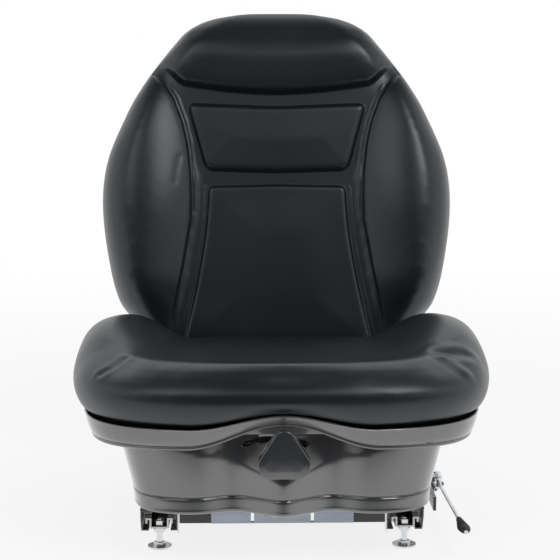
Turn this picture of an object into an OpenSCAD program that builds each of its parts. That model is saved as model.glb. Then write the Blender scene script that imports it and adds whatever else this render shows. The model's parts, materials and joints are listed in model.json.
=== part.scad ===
// Suspension seat for a garden or yard machine: moulded cushions on a sprung scissor base with
// fore-and-aft slide rails. The seat faces -Y, +Z is up, and the origin is on the ground under the
// middle of the seat.

/* [Seat cushion] */
// Full width of the seat cushion
seat_w = 514; // [490:1:530]
// Reach of the front roll ahead of the seat's plan centre
seat_front = 218; // [208:1:224]
// Reach of the rear edge behind the seat's plan centre
seat_rear = 181; // [172:1:181]
// Height of the front roll's crest above the pan floor
seat_crest = 79; // [65:1:90]
// How much lower the well is at the back than at the crest
seat_tilt = 33; // [20:1:40]
// How far the rear bolsters stand above the well
bolster_rise = 38; // [20:1:48]

/* [Backrest] */
// Height of the backrest cushion along its lean
back_h = 477; // [440:1:500]
// Half of the backrest's greatest width
back_half = 248; // [230:1:255]
// Angle that the backrest leans from upright
back_lean = 13; // [8:1:16]
// Thickness of the backrest foam at the lower back
back_t = 80; // [70:1:90]
// How far the side bolsters stand ahead of the centre panel
back_bolster = 30; // [15:1:34]
// How far the head pad stands ahead of the centre panel
head_bulge = 24; // [12:1:30]
// Thickness of the rear shell
shell_t = 3; // [2:0.5:4]

/* [Pan and skirt] */
// Height of the pan's rim band at the sides
rim_h = 29; // [22:1:34]
// Thickness of the pan's sheet
pan_t = 3; // [2:0.5:4]
// How far the rim band rises over the weight knob
rim_arch = 30; // [20:1:32]
// Half width of the skirt at its hem
skirt_half = 182; // [182:1:190]
// How far the skirt's top edge lies inside the edge of the pan's floor
skirt_inset = 15; // [8:1:24]
// Wall of the skirt
skirt_t = 3; // [2:0.5:3.5]
// Height of the thick band along the hem
hem_band = 19; // [12:1:26]
// How far the band stands proud of the wall
band_step = 2.5; // [1:0.5:3]
// Height of the skirt's hem above the ground
hem_z = 64; // [58:1:70]

/* [Suspension] */
// Suspension travel from the unloaded rest height
stroke = 40; // [25:1:42]
// Clear height between the lower and the upper frame plates
ride_h = 109; // [107:1:114]
// Pivot to roller length of a scissor arm
arm_l = 235; // [228:1:240]
// Width of a scissor arm's bar
arm_w = 20; // [16:1:21]
// Thickness of a scissor arm's bar
arm_t = 6; // [4:0.5:6]
// Diameter of the scissor rollers
roller_d = 22; // [20:1:23]
// Running gap above and below a roller
roller_gap = 0.6; // [0.5:0.1:1]
// Diameter of the scissor shafts
shaft_d = 12; // [10:1:13]
// Half distance between the two channels' inner edges
channel_in = 100; // [100:1:104]
// Depth of a channel from its inner edge to its outer face
channel_d = 25; // [24:1:26]
// Sheet thickness of the frames
frame_t = 2.5; // [2:0.5:3]
// Mean diameter of a suspension spring
spring_d = 52; // [46:1:54]
// Wire diameter of a suspension spring
spring_wire = 7; // [5:0.5:7]

/* [Slide rails] */
// Distance between the two rails' centres
rail_gauge = 305; // [305:1:308]
// Length of a lower rail
rail_l = 312; // [308:1:316]
// Outer width of an upper rail
rail_w = 46; // [46:1:47]
// Sheet thickness of the rails
rail_t = 2.5; // [2:0.1:2.5]
// Height of a lower rail's U
lower_rail_h = 13.5; // [13:0.5:14]
// Space between a lower rail's flanges and the upper rail's web
glide_h = 8.5; // [8:0.5:10]
// Height of an upper rail's legs
upper_rail_h = 31; // [29:0.5:32]
// Pitch of the latch notches
notch_pitch = 15; // [13:1:18]

/* [Mounting bolts] */
// Spacing of the mounting bolts along the rails
bolt_pitch = 292; // [286:1:292]
// Diameter of the mounting bolts
bolt_d = 8; // [6:1:8]
// Diameter of a bolt's flanged foot
foot_d = 30; // [24:1:34]
// Thickness of a bolt's flanged foot
foot_t = 2.6; // [2:0.1:4]
// Height of the lower rails' underside above the ground
rail_lift = 26.5; // [25:0.5:30]

/* [Weight lever] */
// Distance from the lever's pivot to the middle of its slot
lever_r = 90; // [84:1:90]
// Sideways place of the lever's pivot
lever_x = -9; // [-12:1:-6]
// Half angle of the slot
slot_half = 24.3; // [20:0.1:25]
// Diameter of the lever's stem
stem_d = 6; // [5:0.5:6.5]
// Thickness of the knob
knob_t = 20; // [16:1:22]

/* [Slide lever] */
// Sideways place of the slide lever's pivot
latch_x = 209; // [208:1:214]
// Fore-and-aft place of the slide lever's pivot
latch_y = 10; // [6:1:16]
// Diameter of the slide lever's rod
rod_d = 5; // [4:0.5:6]
// Length of the slide lever ahead of its pivot
rod_l = 229; // [200:1:232]

/* [Hidden] */
$fn = 32;

// Free space round a shaft that turns in its hole
run = 0.05;
seat_y = -60;

// Heights, stacked from the ground up
web_z = rail_lift + rail_t;
flange_z = rail_lift + lower_rail_h;
rail_top = flange_z + glide_h + rail_t;
plate_z = rail_top + frame_t;
channel_h = roller_d + 2 * roller_gap;
low_axis = plate_z + channel_h / 2;
upper_z = plate_z + ride_h;
high_axis = upper_z - channel_h / 2;
floor_z = upper_z + frame_t;
base_z = floor_z + pan_t;

// Places along the seat
rear_axis = 110;
arm_angle = asin((high_axis - low_axis) / arm_l);
front_axis = rear_axis - arm_l * cos(arm_angle);
packed_angle = asin((high_axis - low_axis - stroke) / arm_l);
packed_axis = rear_axis - arm_l * cos(packed_angle);
channel_front = packed_axis - roller_d / 2 - 5;
channel_rear = rear_axis + 16;
rail_x = rail_gauge / 2;
frame_front = 162.5;

// Sideways places of the scissor arms
outer_x = channel_in - 2 - arm_t;
inner_x = outer_x - 6 - arm_t;

// Smooth step from 0 to 1
function smooth(t) = let (u = min(1, max(0, t))) u * u * (3 - 2 * u);
function mix(a, b, t) = a + (b - a) * t;
function steps(a, b, n) = [for (i = [0 : n]) a + (b - a) * i / n];
// Hump of height 1 and half width w
function hump(x, w) = abs(x) < w ? pow(cos(90 * x / w), 2) : 0;
function bell(x, w) = exp(-x * x / (w * w));

// Slope of knot i, and the smooth curve through knots [place, value] at x
function slope(k, i) = let (a = max(0, i - 1), b = min(len(k) - 1, i + 1))
    (k[b][1] - k[a][1]) / (k[b][0] - k[a][0]);
function curve(k, x) = let (
    i = max([0, for (j = [0 : len(k) - 2]) if (x >= k[j][0]) j]),
    h = k[i + 1][0] - k[i][0],
    t = min(1, max(0, (x - k[i][0]) / h)))
    (2 * t ^ 3 - 3 * t ^ 2 + 1) * k[i][1] + (t ^ 3 - 2 * t ^ 2 + t) * h * slope(k, i)
    + (3 * t ^ 2 - 2 * t ^ 3) * k[i + 1][1] + (t ^ 3 - t ^ 2) * h * slope(k, i + 1);

// Point of a rounded plan at polar angle q: half width a, front reach f, rear reach b, squareness n
function plan(q, a, f, b, n) = let (
    d = sin(q) < 0 ? f : b,
    r = pow(pow(abs(cos(q)) / a, n) + pow(abs(sin(q)) / d, n), -1 / n))
    [r * cos(q), seat_y + r * sin(q)];

// Mean point of a ring
function middle(ring) = [for (k = [0 : 2]) total([for (p = ring) p[k]]) / len(ring)];
function total(v) = v * [for (x = v) 1];

// Solid through closed rings, from the lowest ring up, each counter-clockwise from above. Its ends
// are flat, or fans about their middle points where the end rings are round. Each side face is
// split from its first ring's start to its second ring's end, or the other way if crossed.
module loft(rings, fans = false, crossed = false) {
    n = len(rings[0]);
    m = len(rings);
    last = (m - 1) * n;
    sides = [for (i = [0 : m - 2], j = [0 : n - 1])
        let (a = i * n + j, b = i * n + (j + 1) % n)
        each crossed ? [[a, a + n, b], [b, a + n, b + n]] : [[a, a + n, b + n], [a, b + n, b]]];
    flats = [[for (j = [0 : n - 1]) j], [for (j = [n - 1 : -1 : 0]) last + j]];
    caps = [for (j = [0 : n - 1]) let (k = (j + 1) % n) each [[m * n, j, k], [m * n + 1, last + k, last + j]]];
    poles = [middle(rings[0]), middle(rings[m - 1])];
    polyhedron(points = [each [for (r = rings) each r], if (fans) each poles],
        faces = concat(sides, fans ? caps : flats), convexity = 8);
}

// Coil of round wire that stands on z = 0
module coil(d, wire, h, turns, per_turn, sides) {
    n = round(turns * per_turn);
    loft([for (i = [0 : n]) let (a = 360 * turns * i / n)
        [for (j = [0 : sides - 1]) let (b = -360 * j / sides, r = d / 2 + wire / 2 * cos(b))
            [r * cos(a), r * sin(a), mix(wire / 2, h - wire / 2, i / n) + wire / 2 * sin(b)]]]);
}

module at_both(x) {
    for (s = [-1, 1]) translate([s * x, 0, 0]) children();
}

// Rod along X between two places
module rod_x(d, x0, x1, y, z) {
    translate([x0, y, z]) rotate([0, 90, 0]) cylinder(d = d, h = x1 - x0);
}

// Hexagon prism, or a nut if it has a bore
module hex(flats, h, bore = 0) {
    difference() {
        cylinder(d = flats / cos(30), h = h, $fn = 6);
        if (bore > 0) translate([0, 0, -1]) cylinder(d = bore, h = h + 2);
    }
}

hex_af = bolt_d * 1.625;
nut_h = bolt_d * 0.8;

// Section of a lower rail: a U with outward flanges and turned-down lips
lower_in = 9.5;
lip_x = 17;
module lower_section() {
    translate([-lower_in - rail_t, rail_lift]) square([2 * (lower_in + rail_t), rail_t]);
    for (s = [0, 1]) mirror([s, 0]) {
        translate([lower_in, rail_lift]) square([rail_t, lower_rail_h]);
        translate([lower_in, flange_z - rail_t]) square([lip_x - lower_in, rail_t]);
        translate([lip_x - rail_t, flange_z - 7]) square([rail_t, 7]);
    }
}

module lower_rail(side) {
    color("silver") translate([side * rail_x, 0, 0]) difference() {
        rotate([90, 0, 0]) linear_extrude(rail_l, center = true) lower_section();
        for (s = [-1, 1]) translate([0, s * bolt_pitch / 2, rail_lift - 1])
            cylinder(d = bolt_d + 0.5, h = rail_t + 2);
        for (i = [-8 : 8]) translate([lip_x - rail_t - 1, i * notch_pitch - 3, flange_z - 6])
            cube([rail_t + 2, 6, 3.5]);
    }
}

module lower_rail_left() lower_rail(-1);
module lower_rail_right() lower_rail(1);

module foot_places() {
    for (s = [-1, 1], t = [-1, 1]) translate([s * rail_x, t * bolt_pitch / 2, 0]) children();
}

module mounting_bolts() {
    collar_h = 4.4;
    chamfer = 0.6;
    color("gainsboro") foot_places() {
        cylinder(d1 = foot_d - 2 * chamfer, d2 = foot_d, h = chamfer, $fn = 48);
        translate([0, 0, chamfer]) cylinder(d = foot_d, h = foot_t - chamfer, $fn = 48);
        translate([0, 0, foot_t]) hex(hex_af, collar_h);
        cylinder(d = bolt_d, h = web_z + nut_h + 1.5);
    }
}

module mounting_nuts() {
    color("silver") foot_places() {
        translate([0, 0, rail_lift - nut_h]) hex(hex_af, nut_h, bolt_d + 2 * run);
        translate([0, 0, web_z]) hex(hex_af, nut_h, bolt_d + 2 * run);
    }
}

// Upper rail: a deep channel over the lower rail, its legs cut back at both ends
rail_half = 158;
lip_in = 13.5;
tooth_y = latch_y - 62;
module upper_section() {
    translate([-rail_w / 2, rail_top - rail_t]) square([rail_w, rail_t]);
    for (s = [0, 1]) mirror([s, 0]) {
        translate([rail_w / 2 - rail_t, rail_top - upper_rail_h]) square([rail_t, upper_rail_h]);
        translate([lip_in, rail_top - upper_rail_h]) square([rail_w / 2 - lip_in, rail_t]);
    }
}

module upper_rail(side) {
    leg_cut = 15;
    low = rail_top - upper_rail_h - 1;
    color("dimgray") translate([side * rail_x, 0, 0]) difference() {
        rotate([90, 0, 0]) linear_extrude(2 * rail_half, center = true) upper_section();
        for (s = [0, 1]) mirror([0, s, 0]) rotate([90, 0, 90]) linear_extrude(rail_w + 2, center = true)
            polygon([[rail_half + 1, low], [rail_half - leg_cut, low], [rail_half + 1, rail_top - 9]]);
        for (t = [-1, 1]) translate([0, t * frame_bolt_y, rail_top - rail_t - 1])
            cylinder(d = bolt_d + 0.5, h = rail_t + 2);
        if (side > 0) translate([rail_w / 2 - rail_t - 1, tooth_y - 6, flange_z - 8]) cube([rail_t + 2, 12, 7]);
    }
}

module upper_rail_left() upper_rail(-1);
module upper_rail_right() upper_rail(1);

// Plastic glides that fill the space over and beside a lower rail's flange
module rail_glides() {
    glide_l = 30;
    gap = 0.3;
    top = rail_top - rail_t;
    side = rail_w / 2 - rail_t;
    color("whitesmoke") for (s = [-1, 1], t = [-1, 1], u = [0, 1])
        translate([s * rail_x, t * 125, 0]) mirror([u, 0, 0]) rotate([90, 0, 0])
            linear_extrude(glide_l, center = true)
                polygon([[lower_in + 0.4, flange_z + gap], [lower_in + 0.4, top], [side, top],
                    [side, flange_z - 7], [lip_x + gap, flange_z - 7], [lip_x + gap, flange_z + gap]]);
}

// Thin plates along the inner legs that keep the latch bar from dirt
module rail_guards() {
    guard_t = 1.5;
    color("silver") for (s = [-1, 1]) mirror([s < 0 ? 1 : 0, 0, 0])
        translate([rail_x - rail_w / 2 - guard_t, -frame_front + 2, rail_top - upper_rail_h + 2])
            cube([guard_t, 70, upper_rail_h - 4]);
}

// Sheet frame on the slides: plate, bent front and rear flanges, and two roller channels
frame_bolt_y = 112;
flange_h = 16;
plate_slot_x = 37;
module channel(z0, z1, flange_low) {
    y0 = channel_front;
    l = channel_rear - channel_front;
    for (s = [0, 1]) mirror([s, 0, 0]) {
        translate([channel_in + channel_d - frame_t, y0, z0]) cube([frame_t, l, z1 - z0]);
        translate([channel_in, y0, flange_low]) cube([channel_d, l, frame_t]);
    }
}

module slot_pair(y) {
    for (s = [-1, 1]) translate([s * plate_slot_x - 2, y, rail_top - flange_h + 2]) cube([4, 8, flange_h - 4]);
}

module lower_frame() {
    half = rail_x + rail_w / 2;
    flange_half = rail_x - rail_w / 2 - 2.5;
    color("dimgray") difference() {
        union() {
            translate([-half, -frame_front, rail_top]) cube([2 * half, 2 * frame_front, frame_t]);
            for (y = [-frame_front, frame_front - frame_t]) translate([-flange_half, y, rail_top - flange_h])
                cube([2 * flange_half, frame_t, flange_h + frame_t]);
            channel(plate_z, plate_z + channel_h + frame_t, plate_z + channel_h);
        }
        rod_x(shaft_d + 2 * run, -half, half, rear_axis, low_axis);
        for (s = [-1, 1], t = [-1, 1]) translate([s * rail_x, t * frame_bolt_y, rail_top - 1])
            cylinder(d = bolt_d + 0.5, h = frame_t + 2);
        slot_pair(-frame_front - 2);
    }
}

module front_plate() {
    color("gainsboro") difference() {
        translate([-88, -frame_front - 1.5, rail_top - flange_h]) cube([176, 1.5, flange_h]);
        slot_pair(-frame_front - 4);
    }
}

module frame_bolts() {
    nut_z = rail_top - rail_t - nut_h;
    color("silver") for (s = [-1, 1], t = [-1, 1]) translate([s * rail_x, t * frame_bolt_y, 0]) {
        translate([0, 0, plate_z]) hex(hex_af, 5.5);
        translate([0, 0, nut_z - 0.3]) cylinder(d = bolt_d, h = plate_z - nut_z + 1);
        translate([0, 0, nut_z]) hex(hex_af, nut_h);
    }
}

// Shouldered shaft through both channels, with a spacer out to each web
module pivot_shaft(z, arm_out) {
    web = channel_in + channel_d;
    head_d = 15;
    color("silver") {
        rod_x(shaft_d, -web - 1, web + 1, rear_axis, z);
        for (s = [0, 1]) mirror([s, 0, 0]) {
            rod_x(17, arm_out, web - frame_t - 0.2, rear_axis, z);
            rod_x(head_d, web + 0.2, web + 4, rear_axis, z);
        }
    }
}

module lower_pivot_shaft() pivot_shaft(low_axis, outer_x + arm_t + 0.3);
module upper_pivot_shaft() pivot_shaft(high_axis, inner_x + arm_t + 0.8);

// Rubber pads on the lower channels that meet the upper channels at full travel
module bump_stops() {
    left = ride_h - stroke - 2 * (channel_h + frame_t);
    color("black") at_both(channel_in + channel_d / 2) for (y = [-60, 60])
        translate([-8, y - 15, plate_z + channel_h + frame_t]) cube([16, 30, left - 0.4]);
}

spring_x = 44;
spring_y = -8;
seat_cup = 3;
module spring_cup(z) {
    at_both(spring_x) translate([0, spring_y, z]) difference() {
        cylinder(d = spring_d + spring_wire + 3, h = seat_cup);
        translate([0, 0, -1]) cylinder(d = spring_d - spring_wire - 12, h = seat_cup + 2);
    }
}

module lower_spring_seats() color("dimgray") spring_cup(plate_z);
module upper_spring_seats() color("dimgray") spring_cup(upper_z - seat_cup);

module suspension_springs() {
    color("darkgray") at_both(spring_x) translate([0, spring_y, plate_z + seat_cup])
        coil(spring_d, spring_wire, ride_h - 2 * seat_cup, 5.5, 14, 6);
}

// Flat bar with a round end at both holes, from the rear pivot forward
module arm_bar(x, z, angle, rear_hole, mid_hole) {
    translate([x, rear_axis, z]) rotate([angle, 0, 0]) rotate([90, 0, 90]) difference() {
        union() {
            cylinder(d = arm_w, h = arm_t);
            translate([-arm_l, 0, 0]) cylinder(d = arm_w, h = arm_t);
            translate([-arm_l, -arm_w / 2, 0]) cube([arm_l, arm_w, arm_t]);
        }
        translate([0, 0, -1]) cylinder(d = rear_hole, h = arm_t + 2);
        translate([-arm_l / 2, 0, -1]) cylinder(d = mid_hole, h = arm_t + 2);
        translate([-arm_l, 0, -1]) cylinder(d = shaft_d + 2 * run, h = arm_t + 2);
    }
}

pin_d = 10;
module outer_arms() {
    color("darkslategray") for (s = [0, 1]) mirror([s, 0, 0])
        arm_bar(outer_x, low_axis, -arm_angle, shaft_d + 2 * run, pin_d + 2 * run);
}

// The inner arms' upper rear hole is wide, because the pivot there is left open
module inner_arms() {
    color("darkslategray") for (s = [0, 1]) mirror([s, 0, 0])
        arm_bar(inner_x, high_axis, arm_angle, shaft_d + 1.5, pin_d + 2 * run);
}

module scissor_pivots() {
    y = rear_axis - arm_l / 2 * cos(arm_angle);
    z = (low_axis + high_axis) / 2;
    color("silver") for (s = [0, 1]) mirror([s, 0, 0]) {
        rod_x(pin_d, inner_x - 3, outer_x + arm_t + 1, y, z);
        rod_x(16, inner_x + arm_t + 0.3, outer_x - 0.1, y, z);
        rod_x(16, inner_x - 3.3, inner_x - 0.3, y, z);
        rod_x(16, outer_x + arm_t + 0.1, outer_x + arm_t + 1.6, y, z);
    }
}

roller_w = 15;
module roller_shaft(z, arm_out) {
    far = channel_in + 2 + roller_w + 0.3;
    color("silver") {
        rod_x(shaft_d, -far - 1, far + 1, front_axis, z);
        for (s = [0, 1]) mirror([s, 0, 0]) {
            rod_x(16, arm_out + 0.1, channel_in + 1.7, front_axis, z);
            rod_x(16, far, far + 2, front_axis, z);
        }
    }
}

module upper_roller_shaft() roller_shaft(high_axis, outer_x + arm_t);
module lower_roller_shaft() roller_shaft(low_axis, inner_x + arm_t);

module rollers(z) {
    color("ivory") for (s = [0, 1]) mirror([s, 0, 0]) difference() {
        rod_x(roller_d, channel_in + 2, channel_in + 2 + roller_w, front_axis, z);
        rod_x(shaft_d + 2 * run, channel_in, channel_in + 4 + roller_w, front_axis, z);
    }
}

module upper_rollers() rollers(high_axis);
module lower_rollers() rollers(low_axis);

// Upper frame: plate under the pan, two channels, and a tongue out to the weight lever's bracket
tongue_y = -199.1;
tongue_w = 56;
module upper_frame() {
    half = channel_in + channel_d;
    color("dimgray") difference() {
        union() {
            translate([-half, channel_front, upper_z])
                cube([2 * half, channel_rear - channel_front, frame_t]);
            translate([-tongue_w / 2, tongue_y, upper_z])
                cube([tongue_w, channel_front - tongue_y + 1, frame_t]);
            channel(upper_z - channel_h - frame_t, upper_z, upper_z - channel_h - frame_t);
        }
        rod_x(shaft_d + 2 * run, -half - 1, half + 1, rear_axis, high_axis);
        pan_bolt_places() translate([0, 0, upper_z - 1]) cylinder(d = bolt_d + 0.5, h = frame_t + 2);
    }
}

module pan_bolt_places() {
    for (s = [-1, 1], y = [-72, 75]) translate([s * 58, y, 0]) children();
}

module pan_bolts() {
    color("silver") pan_bolt_places() {
        translate([0, 0, upper_z - 5.5]) hex(hex_af, 5.5);
        translate([0, 0, upper_z - 1]) cylinder(d = bolt_d, h = frame_t + pan_t + 1);
    }
}

// Weight lever: hangs from the tongue on its own bracket and swings across the seat
slot_drop = 10.5;
pivot_z = floor_z - lever_r - slot_drop;
bracket_t = 3;
arm_face = tongue_y - 0.4;
module weight_bracket() {
    color("dimgray") difference() {
        union() {
            translate([-tongue_w / 2, tongue_y, upper_z - bracket_t]) cube([tongue_w, 28, bracket_t]);
            translate([0, tongue_y + bracket_t, 0]) rotate([90, 0, 0]) linear_extrude(bracket_t) polygon([
                [-tongue_w / 2, upper_z], [tongue_w / 2, upper_z], [tongue_w / 2, upper_z - 30],
                [lever_x + 13, pivot_z - 9], [lever_x - 13, pivot_z - 9], [-tongue_w / 2, upper_z - 30]]);
        }
        translate([lever_x, tongue_y + bracket_t + 1, pivot_z]) rotate([90, 0, 0])
            cylinder(d = bolt_d, h = bracket_t + 2);
        translate([-tongue_w / 2 - 1, tongue_y - 1, upper_z]) cube([tongue_w + 2, 40, 10]);
    }
}

module weight_pivot() {
    head_t = 3.5;
    color("silver") translate([lever_x, arm_face - 3.3, pivot_z]) rotate([-90, 0, 0]) {
        translate([0, 0, -head_t]) cylinder(d = 15, h = head_t);
        cylinder(d = bolt_d, h = 3.7 + bracket_t + nut_h);
        translate([0, 0, 3.7 + bracket_t]) hex(hex_af, nut_h);
    }
}

stem_x = 0;
stem_z = pivot_z + sqrt(lever_r ^ 2 - (stem_x - lever_x) ^ 2);
knob_back = -258;
module weight_lever() {
    arm_plate = 3;
    arm_half = 6.5;
    lean = asin((stem_x - lever_x) / lever_r);
    color("darkgray") {
        translate([lever_x, arm_face, pivot_z]) rotate([90, 0, 0]) difference() {
            union() {
                cylinder(d = 20, h = arm_plate);
                rotate(-lean) {
                    translate([-arm_half, 0, 0]) cube([2 * arm_half, lever_r, arm_plate]);
                    translate([0, lever_r, 0]) cylinder(r = arm_half, h = arm_plate);
                }
            }
            translate([0, 0, -1]) cylinder(d = bolt_d + 2 * run, h = arm_plate + 2);
        }
        translate([stem_x, arm_face - arm_plate + 0.5, stem_z]) rotate([90, 0, 0])
            cylinder(d = stem_d, h = arm_face - arm_plate + 0.5 - knob_back + 8);
    }
}

module weight_knob() {
    edge = 5;
    corners = [[0, 13, 12.5], [-17, -19, 14.5], [17, -19, 14.5]];
    color("black") difference() {
        hull() for (c = corners) translate([stem_x + c[0], knob_back, stem_z + c[1]]) rotate([90, 0, 0]) {
            cylinder(r = c[2], h = knob_t - edge);
            translate([0, 0, knob_t - edge]) cylinder(r1 = c[2], r2 = c[2] - 2, h = edge - 1.5);
            cylinder(r = c[2] - 4, h = knob_t);
        }
        translate([stem_x, knob_back + 1, stem_z]) rotate([90, 0, 0]) cylinder(d = stem_d + 2 * run, h = 9.2);
    }
}

// Seat pan: a flat floor with a turned-down rim band, which rises over the knob and at the back
rim_z = base_z + 7;
plan_steps = 72;
function rim_low(x, y) = rim_z - rim_h + (y < seat_y ? rim_arch * hump(x, 118) : 0)
    + (rim_h - rim_z + floor_z) * smooth((y - 10) / 60);
function rim_top(x, y) = rim_z + (y < seat_y ? 18 * hump(x, 112) : 0);
function pan_ring(a, f, b, n, z) = [for (j = [0 : plan_steps - 1])
    let (p = plan(360 * j / plan_steps, a, f, b, n)) [p[0], p[1], z]];
function pan_edge(a, f, b, n, top, dz) = [for (j = [0 : plan_steps - 1])
    let (p = plan(360 * j / plan_steps, a, f, b, n))
    [p[0], p[1], dz + (top ? rim_top(p[0], p[1]) : rim_low(p[0], p[1]))]];

pan_half = seat_w / 2 - 10;
pan_front = seat_front - 23;
pan_rear = seat_rear - 6;
low_half = pan_half - 11;
low_front = pan_front - 18;
low_rear = pan_rear - 6;
floor_half = low_half - pan_t - 4;
floor_front = low_front - pan_t - 4;
floor_rear = low_rear - pan_t - 4;

// The rim's inner foot: a step above the floor where the arch lifts the band clear of it
foot_in = pan_t + 4;
function foot_z(x, y) = max(base_z, rim_low(x, y) + pan_t / 2);
function pan_foot(d, dz) = let (in = foot_in + d) [for (j = [0 : plan_steps - 1])
    let (p = plan(360 * j / plan_steps, low_half - in, low_front - in, low_rear - in, 4.2))
    [p[0], p[1], foot_z(p[0], p[1]) + dz]];
function floor_edge(d, z) = let (in = pan_t + d)
    pan_ring(floor_half - in, floor_front - in, floor_rear - in, 4, z);

module seat_pan() {
    t = pan_t;
    color("gray") difference() {
        loft([
            pan_ring(30, 30, 30, 2, floor_z),
            pan_ring(floor_half, floor_front, floor_rear, 4, floor_z),
            pan_edge(low_half - t, low_front - t, low_rear - t, 4.2, false, 0),
            pan_edge(low_half, low_front, low_rear, 4.2, false, 0),
            pan_edge(pan_half, pan_front, pan_rear, 3.5, true, 0),
            pan_edge(pan_half - t, pan_front - t, pan_rear - t, 3.5, true, 0),
            pan_foot(0, 0.1),
            floor_edge(0, base_z),
            pan_ring(30, 30, 30, 2, base_z)]);
        pan_bolt_places() translate([0, 0, floor_z - 1]) cylinder(d = bolt_d + 0.5, h = pan_t + 2);
    }
}

// Skirt: an open-backed wall under the pan, with a band at its hem, a nose at the front
// and a hollow behind the weight knob
skirt_rear = 80;
skirt_front = 163;
skirt_steps = 48;
lever_cut_z = 34;
joint_y = seat_y + 4;
function skirt_dy(x, z) = let (t = smooth((z - hem_z - 16) / 70))
    mix(20 * bell(abs(x) - 60, 30) - 10 * bell(x, 22), 20 * hump(x, 110), t);
function skirt_a(z) = let (t = max(0, z - hem_z - 5) / (floor_z - hem_z - 5))
    mix(skirt_half, floor_half - skirt_inset, t);
function skirt_f(z) = skirt_front + max(0, z - hem_z) * 0.05;
function skirt_n(z) = mix(5.5, 4.2, (z - hem_z) / (floor_z - hem_z));
function skirt_taper(y) = 1 - 0.16 * smooth((y - 10) / 75);
function skirt_low(y) = hem_z + lever_cut_z * smooth((y - joint_y) / 22);
function skirt_pt(q, y, off, z) = let (
    a = skirt_a(z) + off,
    p = q == undef ? [0, y] : plan(q, a, skirt_f(z) + off, 1, skirt_n(z)))
    q == undef ? [y[0] * a * skirt_taper(y[1]), y[1], z] : [p[0], p[1] + skirt_dy(p[0], z), z];
function skirt_levels() = let (s = band_step, t = skirt_t)
    [[0, s], [hem_band, s], [hem_band + 2, 0], [32, 0], [46, 0], [62, 0], [80, 0], [floor_z - hem_z, 0],
    [floor_z - hem_z, -t - 5], [floor_z - hem_z - t, -t - 5], [floor_z - hem_z - t, -t],
    [80, -t], [62, -t], [46, -t], [30, -t], [0, -t]];
function skirt_ring(q, y) = let (low = q == undef ? skirt_low(y[1]) : hem_z,
    scale_z = (floor_z - low) / (floor_z - hem_z))
    [for (l = skirt_levels()) skirt_pt(q, y, l[1], low + l[0] * scale_z)];

slot_w = stem_d + 1.5;
module arc_slot() {
    outer = [for (a = steps(-slot_half, slot_half, 12)) [sin(a), cos(a)] * (lever_r + slot_w / 2)];
    inner = [for (a = steps(slot_half, -slot_half, 12)) [sin(a), cos(a)] * (lever_r - slot_w / 2)];
    translate([lever_x, -190, pivot_z]) rotate([90, 0, 0]) linear_extrude(60) {
        polygon(concat(outer, inner));
        for (s = [-1, 1]) rotate(s * slot_half) translate([0, lever_r]) circle(d = slot_w, $fn = 20);
    }
}

// The front apron runs round both corners to a joint with a plain side panel
module skirt() {
    color("dimgray") difference() {
        loft(concat(
            [skirt_ring(undef, [-1, joint_y])],
            [for (q = steps(180, 360, skirt_steps)) skirt_ring(q, 0)],
            [skirt_ring(undef, [1, joint_y])]));
        arc_slot();
    }
}

module skirt_side(side) {
    ys = [skirt_rear, 62, 45, 28, 10, -20, -34, -45, joint_y];
    rings = [for (y = ys) skirt_ring(undef, [side, y])];
    color("dimgray") loft(side < 0 ? rings : [for (i = [len(ys) - 1 : -1 : 0]) rings[i]]);
}

module skirt_side_left() skirt_side(-1);
module skirt_side_right() skirt_side(1);

// Seat cushion: crowned front roll, sloping well and rising rear bolsters
crest_r = 0.79;
widest_z = base_z + 45;
function well_z(y) = base_z + seat_crest - seat_tilt * smooth((y + 235) / 420) * 1.05;
function seat_bolster(x, y) = bolster_rise * smooth((abs(x) - 112) / 85) * smooth((y + 215) / 185);
function seat_top(x, y) = well_z(y) + seat_bolster(x, y);
function seat_arch(x, y) = y < seat_y ? 18 * hump(x, 112) : 0;
function cushion_ring(r) = [for (j = [0 : plan_steps - 1]) let (
    q = 360 * j / plan_steps,
    p = plan(q, r * seat_w / 2, r * seat_front, r * seat_rear, mix(2.4, 3.3, r)),
    c = plan(q, crest_r * seat_w / 2, crest_r * seat_front, crest_r * seat_rear, mix(2.4, 3.3, crest_r)),
    k = r <= crest_r ? 1 : sqrt(1 - pow((r - crest_r) / (1 - crest_r), 2)),
    z = r <= crest_r ? seat_top(p[0], p[1]) : widest_z + (seat_top(c[0], c[1]) - widest_z) * k)
    [p[0], p[1], z]];
function under_ring(t) = [for (j = [0 : plan_steps - 1]) let (
    q = 360 * j / plan_steps,
    p = plan(q, seat_w / 2 - 12 * t ^ 2, seat_front - 23 * t ^ 2, seat_rear - 7 * t ^ 2, 3.3),
    z = mix(widest_z, rim_z + 1.2 + seat_arch(p[0], p[1]), t))
    [p[0], p[1], z]];

module seat_cushion() {
    gap = 0.8;
    in = pan_t + gap;
    color([0.13, 0.13, 0.14]) loft(concat(
        [floor_edge(gap, base_z + 0.1), pan_foot(gap, gap),
        pan_edge(pan_half - in, pan_front - in, pan_rear - in, 3.5, true, gap)],
        [for (t = [1, 0.7, 0.35]) under_ring(t)],
        [for (r = [1, 0.985, 0.955, 0.91, 0.855, crest_r, 0.7, 0.6, 0.48, 0.34, 0.2, 0.08]) cushion_ring(r)]),
        fans = true, crossed = true);
}

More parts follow.
